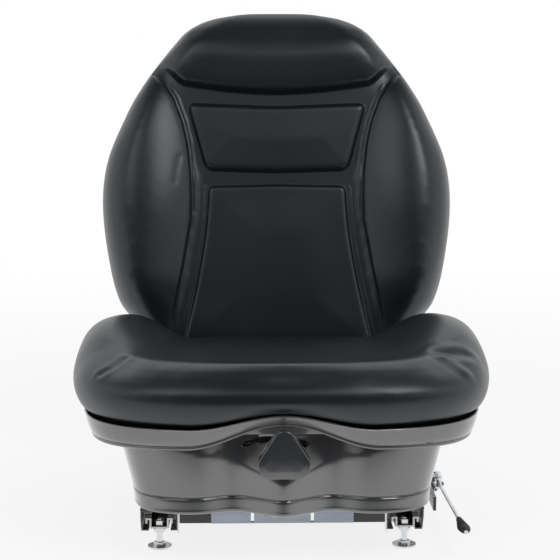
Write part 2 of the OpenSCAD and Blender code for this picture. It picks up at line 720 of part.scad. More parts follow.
// Backrest: rings across its lean, each with a shaped front and a flat rear with round edges
back_y = seat_y + seat_rear + 3.5;
back_z = base_z + 32;
half_knots = [[-14, 0.60], [10, 0.73], [36, 0.815], [63, 0.90], [118, 0.96], [202, 1], [267, 0.972],
    [332, 0.867], [369, 0.782], [401, 0.69], [430, 0.593], [448, 0.524], [461, 0.431], [468, 0.33],
    [474, 0.16]];
seam_knots = [[0, 149], [60, 140], [114, 129], [205, 120], [282, 125], [343, 144], [400, 180]];
depth_knots = [[-14, 0.55], [0, 0.8], [20, 0.95], [60, 1], [150, 1], [300, 0.88], [400, 0.74], [440, 0.65],
    [460, 0.56], [468, 0.49], [474, 0.40]];
// How far the front face curves back over the top edge
function top_curl(s) = 17 * (1 - sqrt(1 - max(0, (s - 440) / 34.5) ^ 2));
function up(s) = s * back_h / 474;
function back_w(s) = back_half * curve(half_knots, s);
function back_depth(s) = back_t * curve(depth_knots, s);
function head_line(x) = 354 + 9 * pow(min(abs(x), 130) / 108, 2) + 34 * smooth((abs(x) - 128) / 50);
function front_relief(x, s) = let (
    side = back_bolster * smooth((abs(x) - curve(seam_knots, s)) / 52) * smooth((s - 8) / 90),
    head = head_bulge * smooth((s - head_line(x)) / 30))
    max(side, head) * smooth((482 - s) / 60);
function edge_drop(x, w, r) = let (t = min(1, max(0, (abs(x) - (w - r)) / r))) sqrt(1 - t * t);
function back_point(x, w, s) = [x,
    back_y + up(s) * sin(back_lean) + w * cos(back_lean),
    back_z + up(s) * cos(back_lean) - w * sin(back_lean)];

rear_flat = 2;
rear_edge = 5;
rear_round = 0.18;
// Places across half a ring: even over the flat part, then round the edge
function across(w, r, flat, edge) = concat([for (i = [0 : flat - 1]) (w - r) * i / flat],
    [for (i = [0 : edge]) w - r + r * sin(90 * i / edge)]);
function back_ring(s) = let (
    w = back_w(s),
    mid = 0.45 * back_depth(s),
    front_r = 0.24 * w,
    rear_r = rear_round * w,
    fx = across(w, front_r, 10, 5),
    rx = across(w, rear_r, rear_flat, rear_edge),
    front = [for (x = fx) [x, mid - (mid - top_curl(s) + front_relief(x, s)) * edge_drop(x, w, front_r)]],
    rear = [for (x = rx) [x, mid + (back_depth(s) - mid) * edge_drop(x, w, rear_r)]],
    half = concat(front, [for (i = [len(rear) - 2 : -1 : 0]) rear[i]]))
    [for (p = concat(half, [for (i = [len(half) - 2 : -1 : 1]) [-half[i][0], half[i][1]]]))
        back_point(p[0], p[1], s)];

back_rows = [-14, -6, 6, 22, 42, 66, 94, 124, 156, 190, 224, 258, 290, 316, 334, 346, 354, 362, 370, 378, 386,
    394, 402, 412, 424, 436, 447, 456, 463, 468, 471.5, 474];
module back_cushion() {
    color([0.13, 0.13, 0.14]) loft([for (s = back_rows) back_ring(s)], fans = true);
}

// Rear shell: thin moulding that follows the foam's back and wraps part of its round edges
shell_gap = 0.4;
shell_wrap = 3;
function shell_ring(s) = let (
    w = back_w(s),
    depth = back_depth(s),
    mid = 0.45 * depth,
    r = rear_round * w,
    xs = [for (i = [0 : rear_flat + shell_wrap]) across(w, r, rear_flat, rear_edge)[i]],
    half = [for (x = xs) [x, mid + (depth - mid) * edge_drop(x, w, r) + shell_gap]],
    inner = concat([for (i = [len(half) - 1 : -1 : 1]) [-half[i][0], half[i][1]]], half),
    outer = [for (i = [len(inner) - 1 : -1 : 0]) [inner[i][0] * (w + shell_t / 2) / w, inner[i][1] + shell_t]])
    [for (p = concat(inner, outer)) back_point(p[0], p[1], s)];

module back_shell() {
    color("black") difference() {
        loft([for (s = back_rows) if (s > 20 && s < 440) shell_ring(s)]);
        back_bolt_places() translate([0, 0, -40]) cylinder(d = bolt_d + 0.5, h = 80);
    }
}

// Back brackets: flat bars from under the pan, bent up behind the rear shell
bracket_x = 127;
bracket_w = 38;
bar_t = 6;
bar_from = 20;
bar_top = 176;
bar_w = max([for (s = [22 : 6 : bar_top]) back_depth(s)]) + shell_gap + shell_t + 0.1;
function bar_point(s, w) = let (p = back_point(0, w, s)) [p[1], p[2]];
module back_bracket(side) {
    foot_rear = bar_point(0, bar_w)[0] - 6;
    inner = [[bar_from, floor_z], [foot_rear, floor_z], bar_point(26, bar_w), bar_point(bar_top, bar_w)];
    outer = [bar_point(bar_top, bar_w + bar_t), bar_point(24, bar_w + bar_t), [foot_rear + 6, floor_z - bar_t],
        [bar_from, floor_z - bar_t]];
    color("black") difference() {
        translate([side > 0 ? bracket_x : -bracket_x - bracket_w, 0, 0]) rotate([90, 0, 90])
            linear_extrude(bracket_w) polygon(concat(inner, outer));
        back_bolt_places() translate([0, 0, -40]) cylinder(d = bolt_d + 0.5, h = 80);
        bracket_bolt_places() translate([0, 0, -20]) cylinder(d = bolt_d + 0.5, h = 40);
    }
}

module left_back_bracket() back_bracket(-1);
module right_back_bracket() back_bracket(1);

module back_bolt_places() {
    for (x = [-1, 1], s = [70, 140]) translate(back_point(x * (bracket_x + bracket_w / 2), bar_w + bar_t, s))
        rotate([-90 - back_lean, 0, 0]) children();
}

module bracket_bolt_places() {
    for (x = [-1, 1], y = [40, 84]) translate([x * (bracket_x + bracket_w / 2), y, floor_z - bar_t])
        children();
}

module back_bolts() {
    color("silver") {
        back_bolt_places() {
            hex(hex_af, 5.5);
            translate([0, 0, -bar_t - shell_t]) cylinder(d = bolt_d, h = bar_t + shell_t + 1);
        }
        bracket_bolt_places() {
            translate([0, 0, -5.5]) hex(hex_af, 5.5);
            translate([0, 0, -1]) cylinder(d = bolt_d, h = bar_t + 1);
        }
    }
}

// Slide lever: a straight rod on an upright bolt beside the right-hand rail, with its bracket
ear_t = 3;
ear_z = rail_top - 18;
eye_d = 18;
eye_t = rod_d + 1;
eye_z = ear_z + ear_t + 0.3;
rod_z = eye_z + eye_t / 2;
leg_x = rail_x + rail_w / 2;
arm_x = 195;
grip_t = 4;
module lever_bracket() {
    ear_w = 24;
    foot_l = 60;
    grip_l = 100;
    grip_h = 18;
    color("black") difference() {
        union() {
            translate([leg_x, latch_y - foot_l / 2, ear_z - 9]) cube([ear_t, foot_l, 20]);
            translate([leg_x, latch_y - ear_w / 2, ear_z]) cube([latch_x - leg_x, ear_w, ear_t]);
            translate([latch_x, latch_y, ear_z]) cylinder(d = ear_w, h = ear_t);
            translate([arm_x, latch_y - grip_l, ear_z - 6]) cube([grip_t, grip_l, grip_h]);
        }
        translate([latch_x, latch_y, ear_z - 1]) cylinder(d = bolt_d, h = ear_t + 2);
    }
}

module lever_pivot_bolt() {
    washer_t = 1.6;
    washer_z = eye_z + eye_t + 0.3;
    color("silver") translate([latch_x, latch_y, 0]) {
        translate([0, 0, ear_z - 5]) hex(hex_af, 5);
        translate([0, 0, ear_z - 1]) cylinder(d = bolt_d, h = washer_z + washer_t + nut_h + 2 - ear_z);
        translate([0, 0, washer_z]) cylinder(d = eye_d + 2, h = washer_t);
        translate([0, 0, washer_z + washer_t]) hex(hex_af, nut_h);
    }
}

// Close-wound return spring beside the bracket's grip: a barrel of turns, hooked to the grip
module lever_spring() {
    spring_r = 3;
    wire = 1.6;
    groove = 0.5;
    turns = 20;
    bore = spring_r - wire;
    gap = 2.2;
    color("silver") translate([arm_x + grip_t + gap + spring_r, latch_y - 14, rod_z]) rotate([90, 0, 0]) {
        rotate_extrude() polygon([[bore, 0], [spring_r - groove, 0],
            each [for (i = [0 : turns - 1], e = [[0, 0.4], [0, 0.7], [groove, 1]])
                [spring_r - e[0], wire * (i + e[1])]],
            [bore, wire * turns]]);
        translate([-gap - spring_r, -wire / 2, wire]) cube([gap + wire, wire, wire]);
    }
}

// The lever is one straight rod welded to a flat eye, and it leads a little outward
rod_start = [latch_x + 3, latch_y - 5, rod_z];
rod_end = [latch_x + 11, latch_y - rod_l, rod_z];
module slide_lever() {
    color("gainsboro") difference() {
        union() {
            translate([latch_x, latch_y, eye_z]) cylinder(d = eye_d, h = eye_t);
            rod_between(rod_start, rod_end, rod_d);
        }
        translate([latch_x, latch_y, eye_z - 1]) cylinder(d = bolt_d + 2 * run, h = eye_t + 2);
    }
}

// Rod between two points at one height
module rod_between(a, b, d) {
    v = b - a;
    translate(a) rotate([0, 90, atan2(v[1], v[0])]) cylinder(d = d, h = norm(v));
}

// Flat soft grip over the rod's end, which shows at its tip
module lever_tip() {
    tip_l = 47;
    v = (rod_end - rod_start) / norm(rod_end - rod_start);
    balls = [[0, 2.5, 1], [tip_l - 12, 3, 1.9], [tip_l, 2, 1.2]];
    color("black") difference() {
        hull() for (b = balls) translate(rod_end - v * (tip_l + 5 - b[0])) scale([b[2], 1, 1])
            sphere(d = rod_d + b[1], $fn = 20);
        rod_between(rod_start, rod_end + v, rod_d + 2 * run);
    }
}

lower_rail_left();
lower_rail_right();
mounting_bolts();
mounting_nuts();
upper_rail_left();
upper_rail_right();
rail_glides();
rail_guards();
lower_frame();
front_plate();
frame_bolts();
lower_pivot_shaft();
bump_stops();
lower_spring_seats();
suspension_springs();
lever_bracket();
lever_pivot_bolt();
lever_spring();
slide_lever();
lever_tip();
outer_arms();
upper_roller_shaft();
scissor_pivots();
upper_rollers();
inner_arms();
lower_roller_shaft();
lower_rollers();
upper_frame();
upper_pivot_shaft();
upper_spring_seats();
pan_bolts();
weight_bracket();
weight_pivot();
seat_pan();
skirt();
skirt_side_left();
skirt_side_right();
seat_cushion();
back_cushion();
back_shell();
left_back_bracket();
right_back_bracket();
back_bolts();
weight_lever();
weight_knob();
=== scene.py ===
import json
import math
import bmesh
import bpy
import numpy as np
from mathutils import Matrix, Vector
from mathutils.bvhtree import BVHTree


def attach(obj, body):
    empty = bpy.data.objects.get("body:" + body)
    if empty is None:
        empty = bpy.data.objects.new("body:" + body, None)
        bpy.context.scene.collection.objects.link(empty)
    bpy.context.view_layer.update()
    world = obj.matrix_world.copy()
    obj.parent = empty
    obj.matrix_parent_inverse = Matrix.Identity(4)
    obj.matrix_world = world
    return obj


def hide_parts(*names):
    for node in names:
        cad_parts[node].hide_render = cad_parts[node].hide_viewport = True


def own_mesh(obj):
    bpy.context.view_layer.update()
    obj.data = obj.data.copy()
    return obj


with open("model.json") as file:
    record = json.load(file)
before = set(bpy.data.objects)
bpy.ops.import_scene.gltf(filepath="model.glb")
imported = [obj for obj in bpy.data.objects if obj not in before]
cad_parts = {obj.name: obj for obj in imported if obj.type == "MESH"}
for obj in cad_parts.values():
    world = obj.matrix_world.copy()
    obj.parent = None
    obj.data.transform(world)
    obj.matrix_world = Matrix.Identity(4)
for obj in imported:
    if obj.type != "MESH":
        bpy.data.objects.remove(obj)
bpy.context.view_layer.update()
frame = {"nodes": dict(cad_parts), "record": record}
nodes = frame["nodes"]
scene = bpy.context.scene
MM = 0.001

# Sizes of the seat, in millimetres, as in the CAD source
SEAT_Y = -60.0
SEAT = (257.0, 218.0, 181.0)
CREST, SEAT_TILT, BOLSTER_RISE, CREST_R = 79.0, 33.0, 38.0, 0.79
BASE_Z, FLOOR_Z, RIM_Z, WIDEST_Z = 168.0, 165.0, 175.0, 213.0
BACK_HALF, BACK_T, LEAN = 248.0, 80.0, math.radians(13)
BACK_Y, BACK_Z, BACK_UP = 124.5, 200.0, 477 / 474
RIM_H, PAN_T, RIM_ARCH = 29.0, 3.0, 30.0
PAN, PAN_LOW, PAN_FLOOR = (247.0, 195.0, 175.0), (236.0, 177.0, 169.0), (229.0, 170.0, 162.0)
HEM_Z, JOINT_Y, SKIRT_REAR = 64.0, -56.0, 80.0
LEVER_X, LEVER_R, SLOT_HALF, SLOT_W, PIVOT_Z = -9.0, 90.0, 24.3, 7.5, 64.5
STEM_Z, KNOB_BACK = 154.05, -258.0
SPRING_PLACES, SPRING_FOOT = ((-44.0, -8.0), (44.0, -8.0)), 56.5
SPRING_H, SPRING_TRAVEL, SPRING_WIRE, SPRING_MEAN, SPRING_TURNS = 103.0, 40.0, 7.0, 52.0, 5.5
LEVER_START, LEVER_TIP = (212.0, 5.0, 39.3), (220.0, -219.0, 39.3)
# Exponents of the rounded plans: higher is squarer
SEAT_N, FLOOR_N, PAN_LOW_N, PAN_N = 3.3, 4.0, 4.2, 3.5
# The vinyl covers: the seat's is wider than its foam; voxels of the skins and largest swellings in metres
COVER_WIDER, FILL = 1.012, 0.9
SEAT_VOXEL, SEAT_SWELL = 0.0055, 0.0035
BACK_VOXEL, BACK_SWELL = 0.0064, 0.003


def smooth(t):
    u = np.clip(t, 0, 1)
    return u * u * (3 - 2 * u)


def mix(a, b, t):
    return a + (b - a) * t


def hump(x, w):
    return np.where(np.abs(x) < w, np.cos(np.clip(x / w, -1, 1) * math.pi / 2) ** 2, 0.0)


def bell(x, w):
    return np.exp(-(x / w) ** 2)


def curve(knots, x):
    """The smooth curve through knots [place, value] at x, with the CAD source's slopes."""
    k = np.array(knots, float)
    px, py = k[:, 0], k[:, 1]
    n = len(px)
    lo = np.maximum(np.arange(n) - 1, 0)
    hi = np.minimum(np.arange(n) + 1, n - 1)
    slope = (py[hi] - py[lo]) / (px[hi] - px[lo])
    x = np.asarray(x, float)
    i = np.clip(np.searchsorted(px, x, side="right") - 1, 0, n - 2)
    h = px[i + 1] - px[i]
    t = np.clip((x - px[i]) / h, 0, 1)
    return ((2 * t**3 - 3 * t**2 + 1) * py[i] + (t**3 - 2 * t**2 + t) * h * slope[i]
            + (3 * t**2 - 2 * t**3) * py[i + 1] + (t**3 - t**2) * h * slope[i + 1])


def plan(q, size, n):
    """Points of a rounded plan at the angles q: half width, front reach, rear reach."""
    a, f, b = size
    c, s = np.cos(q), np.sin(q)
    d = np.where(s < 0, f, b)
    r = ((np.abs(c) / a) ** n + (np.abs(s) / d) ** n) ** (-1.0 / n)
    return r * c, SEAT_Y + r * s


def around(count):
    return np.arange(count) * (2 * math.pi / count)


def less(size, d):
    return tuple(v - d for v in size)


def blank(name, mesh):
    obj = bpy.data.objects.new(name, mesh)
    scene.collection.objects.link(obj)
    return obj


def build(name, verts, faces):
    """New object from points in millimetres."""
    mesh = bpy.data.meshes.new(name)
    mesh.from_pydata((np.asarray(verts, float) * MM).tolist(), [], faces)
    mesh.update()
    return blank(name, mesh)


def loft(name, rings, cap="fan"):
    """Mesh through rings of points, which are loops. Its ends are fans or flat faces."""
    m, n = len(rings), len(rings[0])
    verts = np.vstack(rings)
    faces = []
    for i in range(m - 1):
        k = (i + 1) * n
        for j in range(n):
            faces.append((i * n + j, i * n + (j + 1) % n, k + (j + 1) % n, k + j))
    last = (m - 1) * n
    if cap == "fan":
        verts = np.vstack([verts, rings[0].mean(0), rings[-1].mean(0)])
        faces += [(m * n, (j + 1) % n, j) for j in range(n)]
        faces += [(m * n + 1, last + j, last + (j + 1) % n) for j in range(n)]
    else:
        faces += [tuple(range(n - 1, -1, -1)), tuple(range(last, last + n))]
    return build(name, verts, faces)


def bake(obj):
    """Applies the object's modifiers."""
    deps = bpy.context.evaluated_depsgraph_get()
    mesh = bpy.data.meshes.new_from_object(obj.evaluated_get(deps))
    obj.modifiers.clear()
    old = obj.data
    obj.data = mesh
    bpy.data.meshes.remove(old)


def modify(obj, kind, apply=True, **values):
    """Adds a modifier, and applies it unless told not to."""
    mod = obj.modifiers.new(kind.lower(), kind)
    for key, value in values.items():
        setattr(mod, key, value)
    if apply:
        bake(obj)


def coords(obj):
    co = np.empty(len(obj.data.vertices) * 3, np.float32)
    obj.data.vertices.foreach_get("co", co)
    return co.reshape(-1, 3).astype(float)


def set_coords(obj, co):
    obj.data.vertices.foreach_set("co", np.asarray(co, np.float32).ravel())
    obj.data.update()


def normals(obj):
    no = np.empty(len(obj.data.vertices) * 3, np.float32)
    obj.data.vertices.foreach_get("normal", no)
    return no.reshape(-1, 3).astype(float)


def shade(obj, angle=180.0):
    """Smooth shading, with edges sharper than the angle kept sharp."""
    mesh = obj.data
    mesh.polygons.foreach_set("use_smooth", np.ones(len(mesh.polygons), bool))
    if angle < 180:
        mesh.set_sharp_from_angle(angle=math.radians(angle))


def bevel(obj, width, angle, apply=True):
    modify(obj, "BEVEL", apply=apply, width=width * MM, segments=2, limit_method="ANGLE",
           angle_limit=math.radians(angle), use_clamp_overlap=True)


def fix_normals(obj):
    bm = bmesh.new()
    bm.from_mesh(obj.data)
    bmesh.ops.recalc_face_normals(bm, faces=bm.faces)
    bm.to_mesh(obj.data)
    bm.free()


# Materials: every one is procedural, in the object's own coordinates

def tree(name):
    mat = bpy.data.materials.new(name)
    mat.use_nodes = True
    nt = mat.node_tree
    return mat, nt, nt.nodes["Principled BSDF"]


def node(nt, kind, inputs=None, **attrs):
    """New shader node; an input is a value or another node's output."""
    n = nt.nodes.new(kind)
    for key, value in attrs.items():
        setattr(n, key, value)
    for key, value in (inputs or {}).items():
        if hasattr(value, "node"):
            nt.links.new(value, n.inputs[key])
        elif n.inputs[key].type == "RGBA" and len(value) == 3:
            n.inputs[key].default_value = (*value, 1)
        else:
            n.inputs[key].default_value = value
    return n


def noise(nt, scale, detail=4.0, stretch=(1, 1, 1), rough=0.55):
    co = node(nt, "ShaderNodeTexCoord")
    mp = node(nt, "ShaderNodeMapping", {"Vector": co.outputs["Object"], "Scale": stretch})
    return node(nt, "ShaderNodeTexNoise", {"Vector": mp.outputs[0], "Scale": scale, "Detail": detail,
                                           "Roughness": rough}).outputs[0]


def span(nt, value, low, high, start=0.3, end=0.7):
    return node(nt, "ShaderNodeMapRange", {"Value": value, "From Min": start, "From Max": end,
                                           "To Min": low, "To Max": high}).outputs[0]


def mix_rgb(nt, value, dark, light):
    return node(nt, "ShaderNodeMix", {0: value, 6: dark, 7: light}, data_type="RGBA").outputs[2]


def bumps(nt, bsdf, layers):
    """Chains bump layers of (height, distance in metres, strength)."""
    last = None
    for height, distance, strength in layers:
        inputs = {"Height": height, "Distance": distance, "Strength": strength}
        if last:
            inputs["Normal"] = last
        last = node(nt, "ShaderNodeBump", inputs).outputs[0]
    nt.links.new(last, bsdf.inputs["Normal"])


def worn(nt, dark, light, edge, scale):
    """Colour that varies slowly and is a little paler along worn edges."""
    base = mix_rgb(nt, noise(nt, scale, 4.0), dark, light)
    point = node(nt, "ShaderNodeNewGeometry").outputs["Pointiness"]
    return mix_rgb(nt, span(nt, point, 0.0, 0.5, 0.52, 0.62), base, edge)


def vinyl():
    mat, nt, b = tree("black_vinyl")
    wide = noise(nt, 9.0, 3.0)
    co = node(nt, "ShaderNodeTexCoord")
    grain = node(nt, "ShaderNodeTexVoronoi", {"Vector": co.outputs["Object"], "Scale": 620.0},
                 feature="DISTANCE_TO_EDGE").outputs[0]
    colour = mix_rgb(nt, wide, (0.0065, 0.0075, 0.0095), (0.0100, 0.0112, 0.0135))
    nt.links.new(colour, b.inputs["Base Color"])
    nt.links.new(span(nt, wide, 0.31, 0.36), b.inputs["Roughness"])
    b.inputs["Specular IOR Level"].default_value = 0.6
    b.inputs["Specular Tint"].default_value = (0.90, 0.96, 1.0, 1)
    bumps(nt, b, [(span(nt, grain, 0.0, 1.0, 0.0, 0.12), 0.00022, 0.14),
                  (noise(nt, 420.0, 3.0), 0.0003, 0.08)])
    return mat


def plastic(name, dark, light, rough, grain=900.0, depth=0.08, coat=0.0, coat_rough=0.25, coat_ior=1.5):
    mat, nt, b = tree(name)
    edge = tuple(min(1, v * 1.5 + 0.01) for v in light)
    nt.links.new(worn(nt, dark, light, edge, 14.0), b.inputs["Base Color"])
    nt.links.new(span(nt, noise(nt, 40.0), rough - 0.04, rough + 0.05), b.inputs["Roughness"])
    b.inputs["Coat Weight"].default_value = coat
    b.inputs["Coat Roughness"].default_value = coat_rough
    b.inputs["Coat IOR"].default_value = coat_ior
    bumps(nt, b, [(noise(nt, grain, 2.0), 0.0003, depth), (noise(nt, 30.0, 2.0), 0.0008, 0.04)])
    return mat


def metal(name, dark, light, rough, stretch=(1, 1, 1), grain=300.0, depth=0.12):
    mat, nt, b = tree(name)
    b.inputs["Metallic"].default_value = 1.0
    streak = noise(nt, grain, 3.0, stretch)
    nt.links.new(mix_rgb(nt, noise(nt, 35.0, 5.0), dark, light), b.inputs["Base Color"])
    nt.links.new(span(nt, streak, rough - 0.07, rough + 0.09), b.inputs["Roughness"])
    bumps(nt, b, [(streak, 0.0002, depth)])
    return mat


MATS = {
    "black_vinyl": vinyl(),
    "shell_plastic": plastic("shell_plastic", (0.020, 0.020, 0.022), (0.028, 0.028, 0.030), 0.50, 700.0, 0.2),
    # The pan's base is a paler grey than the black skirt and knob plastic: painted reflection of the white
    # floor on its rim
    "pan_plastic": plastic("pan_plastic", (0.085, 0.086, 0.089), (0.105, 0.106, 0.110), 0.36,
                           coat=1.0, coat_rough=0.14, coat_ior=1.8),
    "skirt_plastic": plastic("skirt_plastic", (0.020, 0.022, 0.025), (0.028, 0.030, 0.034), 0.30,
                             coat=1.0, coat_rough=0.15, coat_ior=2.2),
    "knob_plastic": plastic("knob_plastic", (0.018, 0.020, 0.023), (0.026, 0.028, 0.032), 0.30,
                            coat=1.0, coat_rough=0.14, coat_ior=1.9),
    "black_paint": plastic("black_paint", (0.014, 0.014, 0.015), (0.024, 0.024, 0.026), 0.36,
                           260.0, 0.14, 0.4),
    "bright_zinc": metal("bright_zinc", (0.62, 0.63, 0.65), (0.78, 0.79, 0.80), 0.26),
    "plate_zinc": metal("plate_zinc", (0.26, 0.29, 0.34), (0.34, 0.37, 0.42), 0.30,
                        (0.05, 1, 1), 120.0, 0.03),
    "zinc_steel": metal("zinc_steel", (0.42, 0.43, 0.44), (0.60, 0.60, 0.59), 0.34, (1, 0.06, 1)),
    "spring_steel": metal("spring_steel", (0.09, 0.09, 0.10), (0.16, 0.16, 0.17), 0.34),
    "rubber": plastic("rubber", (0.012, 0.012, 0.012), (0.022, 0.022, 0.022), 0.62, 500.0, 0.2),
    "nylon": plastic("nylon", (0.66, 0.64, 0.58), (0.76, 0.74, 0.68), 0.45, 400.0, 0.08),
}


def dress(obj, slot, body, replaced):
    """Gives a new piece its material and its body, and hides the CAD node that it stands for."""
    obj.data.materials.clear()
    obj.data.materials.append(MATS[slot])
    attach(obj, body)
    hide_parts(replaced)


# The CAD nodes keep their meshes; modifiers round their edges, by millimetres per material
EDGES = {"black_paint": 0.6, "bright_zinc": 0.35, "zinc_steel": 0.35, "rubber": 0.8, "nylon": 0.4}
slot_of = {s["node"]: s["material_slot"] for s in frame["record"]["subparts"]}
for name, obj in nodes.items():
    slot = slot_of[name]
    if not obj.material_slots:
        obj.data.materials.append(MATS[slot])
    for s in obj.material_slots:
        s.link = "OBJECT"
        s.material = MATS["plate_zinc" if name == "front_plate" else slot]
    if slot in EDGES:
        modify(obj, "WELD", apply=False, merge_threshold=2e-6)
        bevel(obj, EDGES[slot], 50, apply=False)
        modify(obj, "WEIGHTED_NORMAL", apply=False, keep_sharp=False)


# Soft pieces

def mark(obj, name, mask):
    """Vertex group of the points where the mask is set."""
    group = obj.vertex_groups.new(name=name)
    group.add([int(i) for i in np.nonzero(mask)[0]], 1.0, "REPLACE")


PRESSURE, FRAMES = 4.0, 20
EVEN_ROUNDS, RAW_SHARE = 24, 0.06


def inflate(obj, cap, hold):
    """Swells a closed skin with a short cloth simulation; no point moves further than cap.

    The swelling is evened out, because the cover is taut, and only a small share of the raw one stays.
    """
    before = coords(obj)
    mod = obj.modifiers.new("cloth", "CLOTH")
    s = mod.settings
    s.quality = 5
    s.use_pressure = True
    s.uniform_pressure_force = PRESSURE
    s.effector_weights.gravity = 0
    s.tension_stiffness = s.compression_stiffness = 15
    s.bending_stiffness = 0.8
    mark(obj, "held", hold)
    s.vertex_group_mass = "held"
    mod.point_cache.frame_start = 1
    mod.point_cache.frame_end = FRAMES
    for f in range(1, FRAMES + 1):
        scene.frame_set(f)
    deps = bpy.context.evaluated_depsgraph_get()
    swollen = obj.evaluated_get(deps)
    after = np.empty(len(swollen.data.vertices) * 3, np.float32)
    swollen.data.vertices.foreach_get("co", after)
    after = after.reshape(-1, 3).astype(float)
    obj.modifiers.clear()
    obj.vertex_groups.clear()
    scene.frame_set(1)
    out = normals(obj)
    swell = np.clip(np.sum((after - before) * out, 1), -cap, cap)
    swell = mix(spread(obj, swell, EVEN_ROUNDS), swell, RAW_SHARE)
    set_coords(obj, before + out * swell[:, None])


def spread(obj, value, rounds):
    """Values of the points, evened out along the mesh, as a taut cover does."""
    pairs = np.empty(len(obj.data.edges) * 2, np.int32)
    obj.data.edges.foreach_get("vertices", pairs)
    a, b = pairs.reshape(-1, 2).T
    count = np.bincount(a, minlength=len(value)) + np.bincount(b, minlength=len(value))
    for _ in range(rounds):
        total = np.bincount(a, value[b], len(value)) + np.bincount(b, value[a], len(value))
        value = 0.5 * value + 0.5 * total / np.maximum(count, 1)
    return value


def remesh(obj, voxel):
    """Even skin of quads over the form, drawn back onto it."""
    points = [v.co for v in obj.data.vertices]
    target = BVHTree.FromPolygons(points, [list(p.vertices) for p in obj.data.polygons])
    modify(obj, "REMESH", mode="VOXEL", voxel_size=voxel)
    modify(obj, "SMOOTH", factor=0.5, iterations=3)
    co = coords(obj)
    set_coords(obj, [target.find_nearest(Vector(p))[0] for p in co])


def edge_distance(x, z, line, closed):
    """Distance from points to a polyline, and which points lie inside it if it is closed."""
    pts = np.array(line, float)
    ends = np.roll(pts, -1, 0) if closed else pts[1:]
    starts = pts if closed else pts[:-1]
    best = np.full(x.shape, 1e9)
    inside = np.zeros(x.shape, bool)
    for (x0, z0), (x1, z1) in zip(starts, ends):
        dx, dz = x1 - x0, z1 - z0
        t = np.clip(((x - x0) * dx + (z - z0) * dz) / (dx * dx + dz * dz), 0, 1)
        best = np.minimum(best, np.hypot(x - x0 - t * dx, z - z0 - t * dz))
        if closed:
            cross = ((z0 > z) != (z1 > z)) & (x < (x1 - x0) * (z - z0) / (z1 - z0 + 1e-12) + x0)
            inside ^= cross
    return best, inside


def rounded(line, radius):
    """The closed polyline with its corners rounded."""
    pts = np.array(line, float)
    out = []
    n = len(pts)
    for i in range(n):
        a, b, c = pts[i - 1], pts[i], pts[(i + 1) % n]
        ra = min(radius, 0.45 * np.linalg.norm(a - b))
        rc = min(radius, 0.45 * np.linalg.norm(c - b))
        p, r = b + (a - b) / np.linalg.norm(a - b) * ra, b + (c - b) / np.linalg.norm(c - b) * rc
        for t in np.linspace(0, 1, 5):
            out.append((1 - t) ** 2 * p + 2 * t * (1 - t) * b + t * t * r)
    return np.array(out)


def refine(obj, near):
    """Splits the faces whose points are all marked."""
    bm = bmesh.new()
    bm.from_mesh(obj.data)
    faces = [f for f in bm.faces if all(near[v.index] for v in f.verts)]
    edges = list({e for f in faces for e in f.edges})
    bmesh.ops.subdivide_edges(bm, edges=edges, cuts=1, use_grid_fill=True)
    bm.to_mesh(obj.data)
    bm.free()


def thin(obj, mask):
    """Fewer faces where the mask is set, on sides that other pieces hide."""
    mark(obj, "thin", mask)
    modify(obj, "DECIMATE", ratio=0.4, vertex_group="thin")
    obj.vertex_groups.clear()


# Seat cushion

def seat_top(x, y):
    """Height of the cushion's upper side: a well that falls to the rear, between raised sides."""
    well = BASE_Z + CREST - 1.05 * SEAT_TILT * smooth((y + 235) / 420)
    return well + BOLSTER_RISE * smooth((np.abs(x) - 112) / 85) * smooth((y + 215) / 185)


def seat_arch(x, y):
    return np.where(y < SEAT_Y, 18 * hump(x, 112), 0)


def seat_plan(r, q):
    return plan(q, tuple(r * v for v in SEAT), SEAT_N - 0.9 * (1 - r))


def seat_ring(r, q):
    """Loop of the upper side at the share r of its reach, with a lip and a tighter roll at the front."""
    x, y = seat_plan(r, q)
    ahead = smooth((-np.sin(q) - 0.35) / 0.4)
    lift = ahead * (2.6 * bell(r - 0.80, 0.06) - 5.0 * bell(r - 0.64, 0.11))
    if r <= CREST_R:
        return np.column_stack([x, y, seat_top(x, y) + lift])
    cx, cy = seat_plan(CREST_R, q)
    k = (1 - ((r - CREST_R) / (1 - CREST_R)) ** (2 - 0.65 * ahead)) ** (1 / (2 + 0.4 * ahead))
    return np.column_stack([x, y, WIDEST_Z + (seat_top(cx, cy) - WIDEST_Z) * k + lift * k])


UNDERCUT = (9, 19, 6)


def lip(x):
    """Height of the cover's turned-under edge over the pan's rim."""
    return 7.0 - 4.0 * hump(x, 112)


def seat_under(t, q):
    """Loop of the lower side, from the widest line at t = 0 to the turned-under edge at t = 1."""
    x, y = plan(q, tuple(v - inset * t**2 for v, inset in zip(SEAT, UNDERCUT)), SEAT_N)
    low = RIM_Z + lip(x) + seat_arch(x, y)
    return np.column_stack([x, y, WIDEST_Z + (low - WIDEST_Z) * t])


def pan_low(x, y):
    """Height of the pan's lower edge: arched over the knob and rising to the rear."""
    arch = np.where(y < SEAT_Y, RIM_ARCH * hump(x, 118), 0)
    return RIM_Z - RIM_H + arch + (RIM_H - 10) * smooth((y - 10) / 60)


def pan_top(x, y):
    return RIM_Z + seat_arch(x, y)


def plan_ring(size, n, z, q, dz=0.0):
    x, y = plan(q, size, n)
    return np.column_stack([x, y, (z(x, y) if callable(z) else np.full(x.shape, z)) + dz])


def foot_z(x, y):
    return np.maximum(BASE_Z, pan_low(x, y) + PAN_T / 2)


